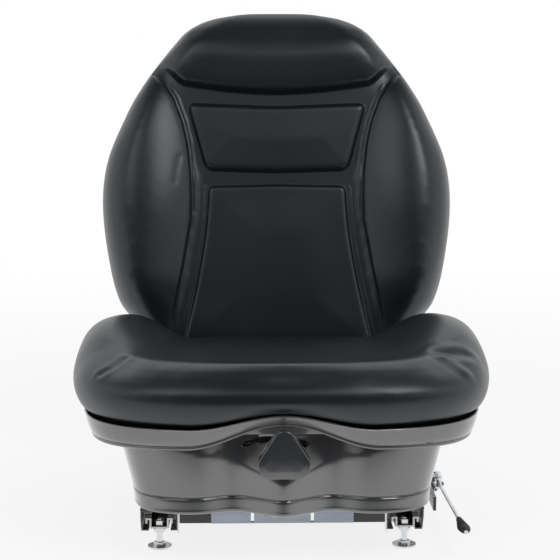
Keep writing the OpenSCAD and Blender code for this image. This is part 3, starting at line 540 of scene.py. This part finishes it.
def make_seat():
    q = around(288)
    rings = [plan_ring(less(PAN_FLOOR, 3.8), FLOOR_N, BASE_Z + 0.1, q),
             plan_ring(less(PAN_LOW, 7.8), PAN_LOW_N, foot_z, q, 0.8),
             plan_ring(less(PAN, 10), PAN_N, pan_top, q, -1.0)]
    for inset, drop in ((13, 5.2), (7, 4.2), (2.5, 2.0)):
        x, y = plan(q, tuple(v - under - inset for v, under in zip(SEAT, UNDERCUT)), SEAT_N)
        rings.append(np.column_stack([x, y, RIM_Z + seat_arch(x, y) + lip(x) * (1 - drop / 8.5)]))
    rings += [seat_under(t, q) for t in np.linspace(1, 0, 10)[:-1]]
    edge = 1 - (1 - CREST_R) * (1 - np.sin(np.linspace(math.pi / 2, 0, 14)))
    rings += [seat_ring(r, q) for r in edge]
    rings += [seat_ring(r, q) for r in np.linspace(CREST_R, 0.02, 26)[1:]]
    seat = loft("seat_cushion_cover", [ring * [COVER_WIDER, 1, 1] for ring in rings])
    remesh(seat, SEAT_VOXEL)
    x, y, z = (coords(seat) / MM).T
    inflate(seat, SEAT_SWELL, z < RIM_Z + lip(x) + seat_arch(x, y) + 2)
    modify(seat, "SUBSURF", levels=1, render_levels=1)
    crease(seat)
    shade(seat)
    dress(seat, "black_vinyl", "platform", "seat_cushion")


# Folds in the cushion's front corners, in plan: line, depth and width
FOLDS = [([(-216, -205), (-203, -199), (-190, -186)], 1.3, 4.5),
         ([(190, -170), (207, -168), (223, -160)], 2.0, 7.5),
         ([(192, -184), (206, -196), (219, -205)], -1.2, 6.5)]


def crease(seat):
    """Presses the folds in, each with a low ridge beside it."""
    co = coords(seat)
    x, y, z = (co / MM).T
    no = normals(seat)
    dent = np.zeros(x.shape)
    for line, depth, width in FOLDS:
        d, _ = edge_distance(x, y, line, False)
        dent -= depth * (bell(d, width) - 0.45 * bell(d - 2.1 * width, width))
    up = np.clip(no[:, 2] * 1.6, 0, 1)
    set_coords(seat, co + no * (dent * up * MM)[:, None])


# Backrest cushion: x across, s up along its lean and w back from its front plane
HALF_KNOTS = [[-14, 0.60], [10, 0.73], [36, 0.815], [63, 0.90], [118, 0.96], [202, 1], [267, 0.972],
              [332, 0.867], [369, 0.782], [401, 0.69], [430, 0.593], [448, 0.524], [461, 0.431], [468, 0.33],
              [474, 0.16]]
SEAM_KNOTS = [[0, 149], [60, 140], [114, 129], [205, 120], [282, 125], [343, 144], [400, 180]]
DEPTH_KNOTS = [[-14, 0.55], [0, 0.8], [20, 0.95], [60, 1], [150, 1], [300, 0.88], [400, 0.74], [440, 0.65],
               [460, 0.56], [468, 0.49], [474, 0.40]]


def back_w(s):
    return BACK_HALF * curve(HALF_KNOTS, s)


def back_depth(s):
    return BACK_T * curve(DEPTH_KNOTS, s)


def head_line(x):
    """Lower edge of the head pad's broad form."""
    return 354 + 9 * (np.minimum(np.abs(x), 130) / 108) ** 2 + 34 * smooth((np.abs(x) - 128) / 50)


def top_curl(s):
    """How far the front falls back at the top."""
    return 17 * (1 - np.sqrt(1 - np.clip((s - 440) / 34.5, 0, 1) ** 2))


def front_relief(x, s):
    """Broad form of the front: bolsters and head pad."""
    rise = mix(30, 18, smooth((s - 180) / 200))
    t = np.clip((np.abs(x) - curve(SEAM_KNOTS, s) + 6) / 84, 0, 1)
    side = rise * (1 - (1 - t) ** 2) * smooth(t / 0.16) * smooth((s - 8) / 90)
    head = 6 * smooth((s - head_line(x)) / 60)
    return np.maximum(side, head) * smooth((482 - s) / 60)


def edge_drop(x, w, r):
    t = np.clip((np.abs(x) - (w - r)) / r, 0, 1)
    return np.sqrt(1 - t * t)


def to_world(x, s, w):
    up = s * BACK_UP
    return np.column_stack([x, BACK_Y + up * math.sin(LEAN) + w * math.cos(LEAN),
                            BACK_Z + up * math.cos(LEAN) - w * math.sin(LEAN)])


def to_back(co):
    x, y, z = (co / MM).T
    dy, dz = y - BACK_Y, z - BACK_Z
    return (x, (dy * math.sin(LEAN) + dz * math.cos(LEAN)) / BACK_UP,
            dy * math.cos(LEAN) - dz * math.sin(LEAN))


def across(w, r, flat, edge):
    """Steps from the middle to the side w, closer together in the rounding r."""
    inner = (w - r) * np.arange(flat) / flat
    return np.concatenate([inner, w - r + r * np.sin(np.linspace(0, math.pi / 2, edge + 1))])


def back_ring(s):
    """Loop about the backrest at the height s along its lean."""
    w = float(back_w(s))
    mid = 0.45 * float(back_depth(s))
    fr, rr = 0.19 * w, 0.18 * w
    fx, rx = across(w, fr, 40, 16), across(w, rr, 24, 12)
    front = np.column_stack([fx, mid - (mid - top_curl(s) + front_relief(fx, s)) * edge_drop(fx, w, fr)])
    rear = np.column_stack([rx, mid + (float(back_depth(s)) - mid) * edge_drop(rx, w, rr)])
    half = np.vstack([front, rear[-2::-1]])
    ring = np.vstack([half, (half * [-1, 1])[-2:0:-1]])
    return to_world(ring[:, 0], s, ring[:, 1])


# Outlines of the raised pads on the backrest's front, as x and s
UPPER_PAD = rounded([(-128, 342), (0, 337), (128, 342), (101, 245), (0, 242), (-101, 245)], 14)
LOWER_HALF = [(97, 225), (99, 190), (102, 158), (108, 120), (116, 78), (125, 36), (133, 2)]
LOWER_PAD = rounded([(0, 227)] + LOWER_HALF + [(-x, s) for x, s in LOWER_HALF[::-1]], 9)
BOLSTER_EDGE = [(148, 0), (145, 44), (139, 76), (131, 113), (124, 154), (120, 175), (119.5, 210), (121, 246),
                (125, 282), (132, 314), (144, 347), (157, 368), (171, 381), (196, 396), (230, 412)]
HEAD_HALF = [(0, 353), (29, 354), (69, 357), (107, 362), (131, 365.5), (139, 371), (154, 386), (171, 398),
             (196, 407), (240, 418)]
HEAD_EDGE = [(-x, s) for x, s in HEAD_HALF[:0:-1]] + HEAD_HALF
CHANNEL = 3.5
BOLSTER_FOLD = [(-136, 264), (-141, 242), (-142, 228)]


WALL_FOOT = -0.6


def wall(e, height, width, crown):
    """Height of a sewn pad at the distance e inside its edge: a sloping side wall and a rounded edge."""
    knots = [[WALL_FOOT, 0], [0.4, 0.05], [width, 0.8], [width + 0.45 * crown, 0.95], [width + crown, 1]]
    return np.where(e > WALL_FOOT, height * curve(knots, e), 0)


def signed(distance, inside):
    return np.where(inside, distance, -distance)


def pad_relief(x, s):
    """Height of the sewn front over its broad form: pads that stand out of a shallow channel."""
    e = signed(*edge_distance(x, s, UPPER_PAD, True))
    height = wall(e, 7.0, 4.6, 5) + 1.6 * smooth(e / 60) - 0.8 * bell(e + 1.2, 1.4)
    e = signed(*edge_distance(x, s, LOWER_PAD, True))
    low = wall(e, 5.6, 3.2, 4.5) + 2.2 * smooth(e / 75)
    bead = 1.5 * bell(e + 5.2, 1.35) * smooth((227 - s) / 5)
    height = np.maximum(height, low) + bead - 0.8 * bell(e + 1.2, 1.4)
    seam = np.interp(s, [p[1] for p in BOLSTER_EDGE], [p[0] for p in BOLSTER_EDGE])
    pad = np.interp(s, [p[1] for p in LOWER_HALF[::-1]], [p[0] for p in LOWER_HALF[::-1]])
    slope = 4.0 * smooth((np.abs(x) - pad - 2) / (seam - pad) * 0.8) * smooth((262 - s) / 30)
    height = np.maximum(height, slope)
    e = signed(edge_distance(np.abs(x), s, BOLSTER_EDGE, False)[0], np.abs(x) > seam)
    bead = 1.5 * bell(e + 5.0, 1.35) * smooth((s - 170) / 60) * smooth((372 - s) / 14)
    height = np.maximum(height, wall(e, 6.0, 1.8, 5)) + bead - 1.2 * bell(e + 0.9, 1.2)
    above = s > np.interp(x, [p[0] for p in HEAD_EDGE], [p[1] for p in HEAD_EDGE])
    e = signed(edge_distance(x, s, HEAD_EDGE, False)[0], above)
    taper = 0.35 + 0.65 * smooth((back_w(s) - np.abs(x)) / 45)
    return np.maximum(height, wall(e, 17.0, 6.0, 16) * taper) - CHANNEL


def near_lines(x, s, reach):
    """Which points lie near a sewn line; along the bolsters the band is wider, for their beads."""
    best = 0.7 * edge_distance(np.abs(x), s, BOLSTER_EDGE, False)[0]
    for line, closed in ((UPPER_PAD, True), (LOWER_PAD, True), (HEAD_EDGE, False)):
        best = np.minimum(best, edge_distance(x, s, line, closed)[0])
    return best < reach


def make_back():
    rows = np.concatenate([np.linspace(-14, 20, 14), np.linspace(26, 330, 60), np.linspace(334, 430, 36),
                           474 - 42 * np.sin(np.linspace(1.45, 0, 20)) ** 2])
    back = loft("back_cushion_cover", [back_ring(s) for s in np.unique(np.round(rows, 3))])
    remesh(back, BACK_VOXEL)
    x, s, w = to_back(coords(back))
    inflate(back, BACK_SWELL, w > 0.75 * back_depth(s))
    modify(back, "SUBSURF", levels=1, render_levels=1)
    x, s, w = to_back(coords(back))
    thin(back, (w > 0.7 * back_depth(s)) & (s > 30) & (s < 430))
    for reach in (9, 3.6):
        x, s, w = to_back(coords(back))
        refine(back, near_lines(x, s, reach) & (w < 0.3 * back_depth(s)) & (s > -5))
    co = coords(back)
    x, s, w = to_back(co)
    forward = np.array([0, -math.cos(LEAN), math.sin(LEAN)])
    face = smooth((normals(back) @ forward - 0.15) / 0.5)
    lift = pad_relief(x, s) * smooth((s + 8) / 20) * (1 - 0.8 * np.clip((s - 405) / 70, 0, 1) ** 1.6)
    d, _ = edge_distance(x, s, BOLSTER_FOLD, False)
    lift -= 0.7 * bell(d, 4.0)
    set_coords(back, co + forward * (lift * face * MM)[:, None])
    modify(back, "SMOOTH", factor=0.5, iterations=2)
    shade(back)
    dress(back, "black_vinyl", "platform", "back_cushion")


# Mouldings

def make_pan():
    """Pan: floor, rolled lower edge, bulged wall, rounded rim and the inside."""
    q = around(360)
    middle = (30, 30, 30)
    rings = [plan_ring(middle, 2, FLOOR_Z, q), plan_ring(less(PAN_FLOOR, 1), FLOOR_N, FLOOR_Z, q),
             plan_ring(PAN_FLOOR, FLOOR_N, FLOOR_Z, q, -0.4)]
    for inset, dz in ((3, 3.0), (3, 1.0), (2.6, 0.3), (1.6, 0.0), (0.5, 0.1), (-0.5, 0.6), (-1.3, 1.5),
                      (-1.6, 2.6), (-1.3, 3.7), (-0.8, 4.5)):
        rings.append(plan_ring(less(PAN_LOW, inset), PAN_LOW_N, pan_low, q, dz))
    for t in (0.25, 0.4, 0.55, 0.7, 0.82, 0.92):
        size = tuple(mix(a, b, t) + 1.3 * math.sin(math.pi * t) for a, b in zip(PAN_LOW, PAN))
        x, y = plan(q, size, PAN_LOW_N - (PAN_LOW_N - PAN_N) * t)
        rings.append(np.column_stack([x, y, mix(pan_low(x, y), pan_top(x, y), t)]))
    for inset, dz in ((-0.1, -1.2), (0.2, -0.5), (0.9, -0.1), (1.5, 0), (2.2, -0.1), (2.8, -0.5), (3, -1.2)):
        rings.append(plan_ring(less(PAN, inset), PAN_N, pan_top, q, dz))
    rings += [plan_ring(less(PAN_LOW, 7), PAN_LOW_N, foot_z, q),
              plan_ring(less(PAN_FLOOR, 3), FLOOR_N, BASE_Z, q, -0.1), plan_ring(middle, 2, BASE_Z, q, -0.1)]
    pan = loft("pan_moulding", rings)
    shade(pan, 60)
    # The pan plastic's paler grey is painted reflection of the floor, over a black moulding
    dress(pan, "pan_plastic", "platform", "seat_pan")


# A straight slope with short roundings at both ends
RECESS_U = [0, 0.05, 0.1, 0.15, 0.85, 0.9, 0.95, 1]
RECESS_T = [0, 0.0098, 0.0392, 0.0882, 0.9118, 0.9608, 0.9902, 1]


def skirt_dy(x, z):
    """How far the apron's wall stands back: a wave at the hem, and a recess about the knob."""
    start = 102 + 0.37 * np.minimum(np.abs(x), 120)
    u = np.clip((z - start) / ((FLOOR_Z - start) * 0.9), 0, 1)
    t = np.interp(u, RECESS_U, RECESS_T)
    high = 22 * smooth((150 - np.abs(x)) / 108) - 10 * bell(x, 24)
    return mix(15 * bell(np.abs(x) - 60, 30) - 10 * bell(x, 22), high, t)


def skirt_half(z):
    """Half width of the skirt at the height z."""
    return mix(182.0, 208.5, np.maximum(0, z - HEM_Z - 5) / (FLOOR_Z - HEM_Z - 5))


# Section of the skirt: height over the hem, and how far it stands proud of the wall
HEM_SECTION = [(1.6, -3), (0.7, -2.6), (0.1, -1.6), (0.0, -0.4), (0.2, 0.8), (0.8, 1.7), (1.7, 2.2),
               (2.7, 2.2), (3.6, 2.2), (4.6, 2.0), (5.8, 1.85), (8, 1.6), (11.5, 1.25), (15, 0.9),
               (17.2, 0.65), (18.0, 0.4), (18.5, -0.1), (18.9, -1.0), (19.6, -1.3), (20.3, -1.0),
               (20.7, -0.2), (21.4, 0.1), (23, 0.1)]
HEM_SECTION += [(z, 0) for z in (27, 32, 38, 44, 50, 56, 62, 68, 74, 80, 86, 92, 97, 99.5)]
HEM_SECTION += [(101, -0.6), (101, -2), (101, -8), (98, -8), (98, -3)]
HEM_SECTION += [(z, -3) for z in (92, 80, 68, 56, 44, 32, 24, 16, 8)]


def skirt_station(low, place):
    """One section of the skirt, whose hem is at low; place gives x and y for an offset and the heights."""
    sec = np.array(HEM_SECTION)
    z = low + sec[:, 0] * (FLOOR_Z - low) / (FLOOR_Z - HEM_Z)
    x, y = place(sec[:, 1], z)
    return np.column_stack([x, y, z])


def front_station(q):
    def place(off, z):
        n = mix(5.5, 4.2, (z - HEM_Z) / (FLOOR_Z - HEM_Z))
        a = skirt_half(z) + off
        f = 163 + np.maximum(0, z - HEM_Z) * 0.05 + off
        c, s = np.cos(q), np.sin(q)
        r = ((np.abs(c) / a) ** n + (np.abs(s) / np.where(s < 0, f, 1)) ** n) ** (-1 / n)
        x, y = r * c, SEAT_Y + r * s
        return x, y + skirt_dy(x, z)
    return skirt_station(HEM_Z, place)


def side_station(side, y):
    low = HEM_Z + 34 * float(smooth((y - JOINT_Y) / 22))
    taper = 1 - 0.16 * float(smooth((y - 10) / 75))

    def place(off, z):
        return side * (skirt_half(z) + off) * taper, np.full(z.shape, y)
    return skirt_station(low, place)


def slot_cutter():
    """Solid of the curved slot that the weight lever runs in."""
    ends = np.radians(SLOT_HALF)
    turn = np.linspace(-ends, ends, 25)
    half = SLOT_W / 2
    outer = [(math.sin(t) * (LEVER_R + half), math.cos(t) * (LEVER_R + half)) for t in turn]
    inner = [(math.sin(t) * (LEVER_R - half), math.cos(t) * (LEVER_R - half)) for t in turn[::-1]]

    def end(angle, start):
        cx, cz = math.sin(angle) * LEVER_R, math.cos(angle) * LEVER_R
        return [(cx + half * math.sin(start + t), cz + half * math.cos(start + t))
                for t in np.linspace(0, math.pi, 13)[1:-1]]
    loop = np.array(outer + end(ends, ends) + inner + end(-ends, math.pi - ends))
    rings = [np.column_stack([LEVER_X + loop[:, 0], np.full(len(loop), y), PIVOT_Z + loop[:, 1]])
             for y in (-250.0, -185.0)]
    cutter = loft("slot_cutter", rings, cap="flat")
    fix_normals(cutter)
    return cutter


def finish_skirt(obj, replaced):
    bevel(obj, 0.7, 55)
    shade(obj, 50)
    dress(obj, "skirt_plastic", "platform", replaced)


def make_skirt():
    angles = np.radians(np.linspace(180, 360, 241))
    stations = [side_station(-1, JOINT_Y)] + [front_station(q) for q in angles] + [side_station(1, JOINT_Y)]
    skirt = loft("skirt_moulding", stations, cap="flat")
    fix_normals(skirt)
    cutter = slot_cutter()
    modify(skirt, "BOOLEAN", operation="DIFFERENCE", object=cutter, solver="EXACT")
    bpy.data.objects.remove(cutter)
    finish_skirt(skirt, "skirt")
    ys = np.concatenate([np.linspace(SKIRT_REAR, -30, 45), np.linspace(-31, JOINT_Y, 22)])
    for side, name in ((-1, "left"), (1, "right")):
        panel = loft(f"skirt_panel_{name}", [side_station(side, y) for y in ys], cap="flat")
        fix_normals(panel)
        finish_skirt(panel, f"skirt_side_{name}")


KNOB_CIRCLES = [(0.0, 12.0, 13.5), (-14.8, -17.0, 16.7), (14.8, -17.0, 16.7)]


def shield(inset):
    """Outline of the knob, a shield about three circles, drawn in by inset."""
    q = around(720)
    ux, uz = np.cos(q), np.sin(q)
    reach = np.array([cx * ux + cz * uz + r - inset for cx, cz, r in KNOB_CIRCLES])
    best = len(KNOB_CIRCLES) - 1 - np.argmax(reach[::-1] > reach.max(0) - 1e-9, axis=0)
    cx, cz, r = np.array(KNOB_CIRCLES)[best].T
    return even(np.column_stack([cx + (r - inset) * ux, cz + (r - inset) * uz]), 160)


def even(loop, count):
    """The closed loop with points at equal steps along it."""
    line = np.vstack([loop, loop[:1]])
    step = np.concatenate([[0], np.cumsum(np.linalg.norm(np.diff(line, axis=0), axis=1))])
    at = np.linspace(0, step[-1], count, endpoint=False)
    return np.column_stack([np.interp(at, step, line[:, k]) for k in (0, 1)])


def make_knob():
    """Knob with a rounded front edge and a slightly domed face. Steps are inset, depth and bow."""
    centre = shield(0).mean(0)
    steps = [(9, 0, 0), (3, 0, 0), (1.0, 0.2, 0), (0.3, 0.8, 0), (0, 2, 0), (0.2, 7, 0), (0.8, 12, 0)]
    steps += [(0.8 + 1.5 * (1 - math.cos(t)), 12.9 + 1.5 * math.sin(t), 0)
              for t in np.linspace(0.1, math.pi / 2, 6)]
    steps += [(3.0, 14.5, 0.1), (4.4, 14.7, 0.4), (6.2, 14.9, 0.8), (8.5, 15.0, 1.2), (11.0, 15.0, 1.5)]
    rings = []
    for inset, depth, bow in steps:
        loop = shield(inset)
        dome = bow * (1 - np.sum((loop - centre) ** 2, 1) / 900)
        rings.append(np.column_stack([loop[:, 0], KNOB_BACK - depth - dome, STEM_Z + loop[:, 1]]))
    knob = loft("knob_moulding", rings)
    fix_normals(knob)
    shade(knob, 70)
    dress(knob, "knob_plastic", "weight_lever", "weight_knob")


def make_grip():
    """Soft grip over the lever's end, with fine ribs."""
    start, tip = np.array(LEVER_START), np.array(LEVER_TIP)
    along = (tip - start) / np.linalg.norm(tip - start)
    side = np.array([-along[1], along[0], 0.0])
    widths = [[-3.6, 2.7], [0, 3.7], [12, 4.8], [24, 6.4], [34, 7.7], [41, 7.3], [47, 5.4], [50, 3.4]]
    heights = [[-3.6, 2.7], [0, 3.7], [34, 4.2], [44, 3.8], [50, 2.8]]
    q = around(40)
    rings = []
    for t in np.concatenate([np.linspace(-3.6, 0, 4), np.linspace(2, 50, 26)]):
        rib = 0.35 * math.sin(math.pi * t / 2) if 8 < t < 34 else 0
        w, h = float(curve(widths, t)) + rib, float(curve(heights, t)) + rib
        place = tip - along * (52 - t)
        rings.append(place + np.outer(w * np.cos(q), side) + np.outer(h * np.sin(q), [0, 0, 1]))
    grip = loft("lever_grip", rings)
    fix_normals(grip)
    shade(grip, 60)
    dress(grip, "rubber", "slide_lever", "lever_tip")


def make_springs():
    """The two coils, at one fixed length."""
    steps, sides, half = 220, 18, SPRING_WIRE / 2
    verts, faces = [], []
    q = -around(sides)
    r = SPRING_MEAN / 2 + half * np.cos(q)
    for x0, y0 in SPRING_PLACES:
        first = len(verts)
        for i in range(steps + 1):
            a = 2 * math.pi * SPRING_TURNS * i / steps
            rise = np.interp(i / steps, [0, 0.1, 0.9, 1], [0, 0.055, 0.945, 1])
            z = SPRING_FOOT + rise * (SPRING_H - SPRING_WIRE) + half + half * np.sin(q)
            verts += list(np.column_stack([x0 + r * math.cos(a), y0 + r * math.sin(a), z]))
        for i in range(steps):
            for j in range(sides):
                k = first + i * sides
                faces.append((k + j, k + (j + 1) % sides, k + sides + (j + 1) % sides, k + sides + j))
        faces.append(tuple(first + j for j in range(sides)))
        faces.append(tuple(first + steps * sides + j for j in range(sides)))
    springs = build("spring_coils", verts, faces)
    fix_normals(springs)
    shade(springs, 60)
    dress(springs, "spring_steel", "carriage", "suspension_springs")
    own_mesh(springs)


def make_shell():
    """Rear shell: a rounded, slightly raised moulding over the foam's back."""
    low, high, field_low, field_high = 22, 436, 60, 405
    rows = np.concatenate([np.linspace(low, 40, 10), np.linspace(46, 416, 64), np.linspace(420, high, 9)])
    inner, outer = [], []
    for s in rows:
        w, depth = float(back_w(s)), float(back_depth(s))
        mid, r = 0.45 * depth, 0.18 * w
        xs = across(w, r, 26, 20)[:39]
        xs = np.concatenate([-xs[:0:-1], xs])
        rear = mid + (depth - mid) * edge_drop(xs, w, r) + 0.4
        rim = np.minimum(min(s - low, high - s), np.abs(xs).max() - np.abs(xs))
        edge = np.sqrt(1 - (1 - np.clip(rim / 3.0, 0, 1)) ** 2)
        field = np.minimum(min(s - field_low, field_high - s), w * 0.72 - np.abs(xs))
        thick = 1.0 + 2.0 * edge + 1.4 * smooth((field - 4) / 12) - 0.9 * bell(field + 4, 2.5)
        inner.append(to_world(xs, s, rear))
        outer.append(to_world(xs * (w + 1.5 * edge) / w, s, rear + thick))
    inner, outer = np.array(inner), np.array(outer)
    m, n = inner.shape[:2]
    verts = np.vstack([inner.reshape(-1, 3), outer.reshape(-1, 3)])
    faces = []
    for i in range(m - 1):
        for j in range(n - 1):
            a = i * n + j
            faces.append((a, a + n, a + n + 1, a + 1))
            faces.append((a + m * n, a + m * n + 1, a + m * n + n + 1, a + m * n + n))
    rim = (list(range(n)) + [i * n + n - 1 for i in range(1, m)]
           + [(m - 1) * n + i for i in range(n - 2, -1, -1)] + [i * n for i in range(m - 2, 0, -1)])
    for a, b in zip(rim, rim[1:] + rim[:1]):
        faces.append((a, b, b + m * n, a + m * n))
    shell = build("shell_moulding", verts, faces)
    fix_normals(shell)
    shade(shell, 55)
    dress(shell, "shell_plastic", "platform", "back_shell")


make_seat()
make_back()
make_pan()
make_skirt()
make_knob()
make_grip()
make_springs()
make_shell()

# Floor, light and camera

def calc(nt, operation, *values):
    return node(nt, "ShaderNodeMath", dict(enumerate(values)), operation=operation).outputs[0]


def ramp(nt, value, start, end, low, high):
    return node(nt, "ShaderNodeMapRange", {"Value": value, "From Min": start, "From Max": end, "To Min": low,
                                           "To Max": high}, interpolation_type="SMOOTHSTEP").outputs[0]


def blend(nt, share, first, second):
    return node(nt, "ShaderNodeMix", {0: share, 2: first, 3: second}).outputs[0]


def ray_kinds(nt):
    """Whether the camera looks, and whether a mirror or glass does."""
    path = node(nt, "ShaderNodeLightPath").outputs
    return path["Is Camera Ray"], calc(nt, "MAXIMUM", path["Is Glossy Ray"], path["Is Transmission Ray"])


# The floor looks white, and a white sheet about the seat ends in front of it in what its surfaces mirror
FLOOR_HALF = 9000
corners = [(-1, -1), (1, -1), (1, 1), (-1, 1)]
floor = build("floor", [(x * FLOOR_HALF, y * FLOOR_HALF, 0) for x, y in corners], [(0, 1, 2, 3)])
mat, nt, bsdf = tree("floor")
bsdf.inputs["Base Color"].default_value = (0.86, 0.86, 0.86, 1)
bsdf.inputs["Roughness"].default_value = 0.8
bsdf.inputs["Specular IOR Level"].default_value = 0.0
seen, mirrored = ray_kinds(nt)
place = node(nt, "ShaderNodeTexCoord").outputs["Object"]
radius = node(nt, "ShaderNodeVectorMath", {0: place}, operation="LENGTH").outputs[1]
axes = node(nt, "ShaderNodeSeparateXYZ", {0: place}).outputs
front = calc(nt, "MULTIPLY_ADD", calc(nt, "ABSOLUTE", axes[0]), 0.18, axes[1])
level = blend(nt, mirrored, 1.0, ramp(nt, front, -0.40, -0.78, 1.0, 0.06))
glow = node(nt, "ShaderNodeEmission", {"Color": (1, 1, 1, 1), "Strength": level}).outputs[0]
seen = calc(nt, "MULTIPLY", seen, ramp(nt, radius, 0.6, 2.4, 0.84, 1.0))
share = calc(nt, "MULTIPLY_ADD", mirrored, 1.0, seen)
mixed = node(nt, "ShaderNodeMixShader", {0: share, 1: bsdf.outputs[0], 2: glow}).outputs[0]
nt.links.new(mixed, nt.nodes["Material Output"].inputs[0])
mat.cycles.emission_sampling = "NONE"
floor.data.materials.append(mat)

# The backdrop looks white; mirrored, it is white behind the seat and at its sides, and dim in front
world = bpy.data.worlds.new("studio")
scene.world = world
world.use_nodes = True
world.cycles.sampling_method = "NONE"
nt = world.node_tree
seen, mirrored = ray_kinds(nt)
axes = node(nt, "ShaderNodeSeparateXYZ", {0: node(nt, "ShaderNodeTexCoord").outputs["Generated"]}).outputs
behind = ramp(nt, axes[1], 0.05, 0.80, 0.05, 1.0)
beside = ramp(nt, calc(nt, "ABSOLUTE", axes[0]), 0.35, 0.90, 0.0, 1.0)
dim = blend(nt, mirrored, 0.5, calc(nt, "MAXIMUM", behind, beside))
background = nt.nodes["Background"]
background.inputs["Color"].default_value = (1, 1, 1, 1)
nt.links.new(blend(nt, seen, dim, 1.0), background.inputs["Strength"])


def lamp(name, place, aim, size, power):
    data = bpy.data.lights.new(name, "AREA")
    data.shape = "RECTANGLE"
    data.size, data.size_y = size
    data.energy = power
    obj = blank(name, data)
    obj.location = place
    obj.rotation_euler = (Vector(aim) - Vector(place)).to_track_quat("-Z", "Y").to_euler()


lamp("key", (0.95, -1.35, 1.80), (0, 0, 0.3), (0.7, 0.8), 14)
lamp("fill", (-0.9, -1.5, 1.75), (0, 0, 0.3), (1.1, 1.0), 7)
lamp("top", (0, 0.9, 2.2), (0, -0.1, 0.3), (1.8, 0.9), 6)

data = bpy.data.cameras.new("camera")
data.sensor_width = 36
data.lens = 104.2
camera = blank("camera", data)
camera.location = (-0.0435, -2.0950, 0.6390)
camera.rotation_euler = (Vector((0, -0.020, 0.3165)) - camera.location).to_track_quat("-Z", "Y").to_euler()
scene.camera = camera
scene.view_settings.view_transform = "Standard"
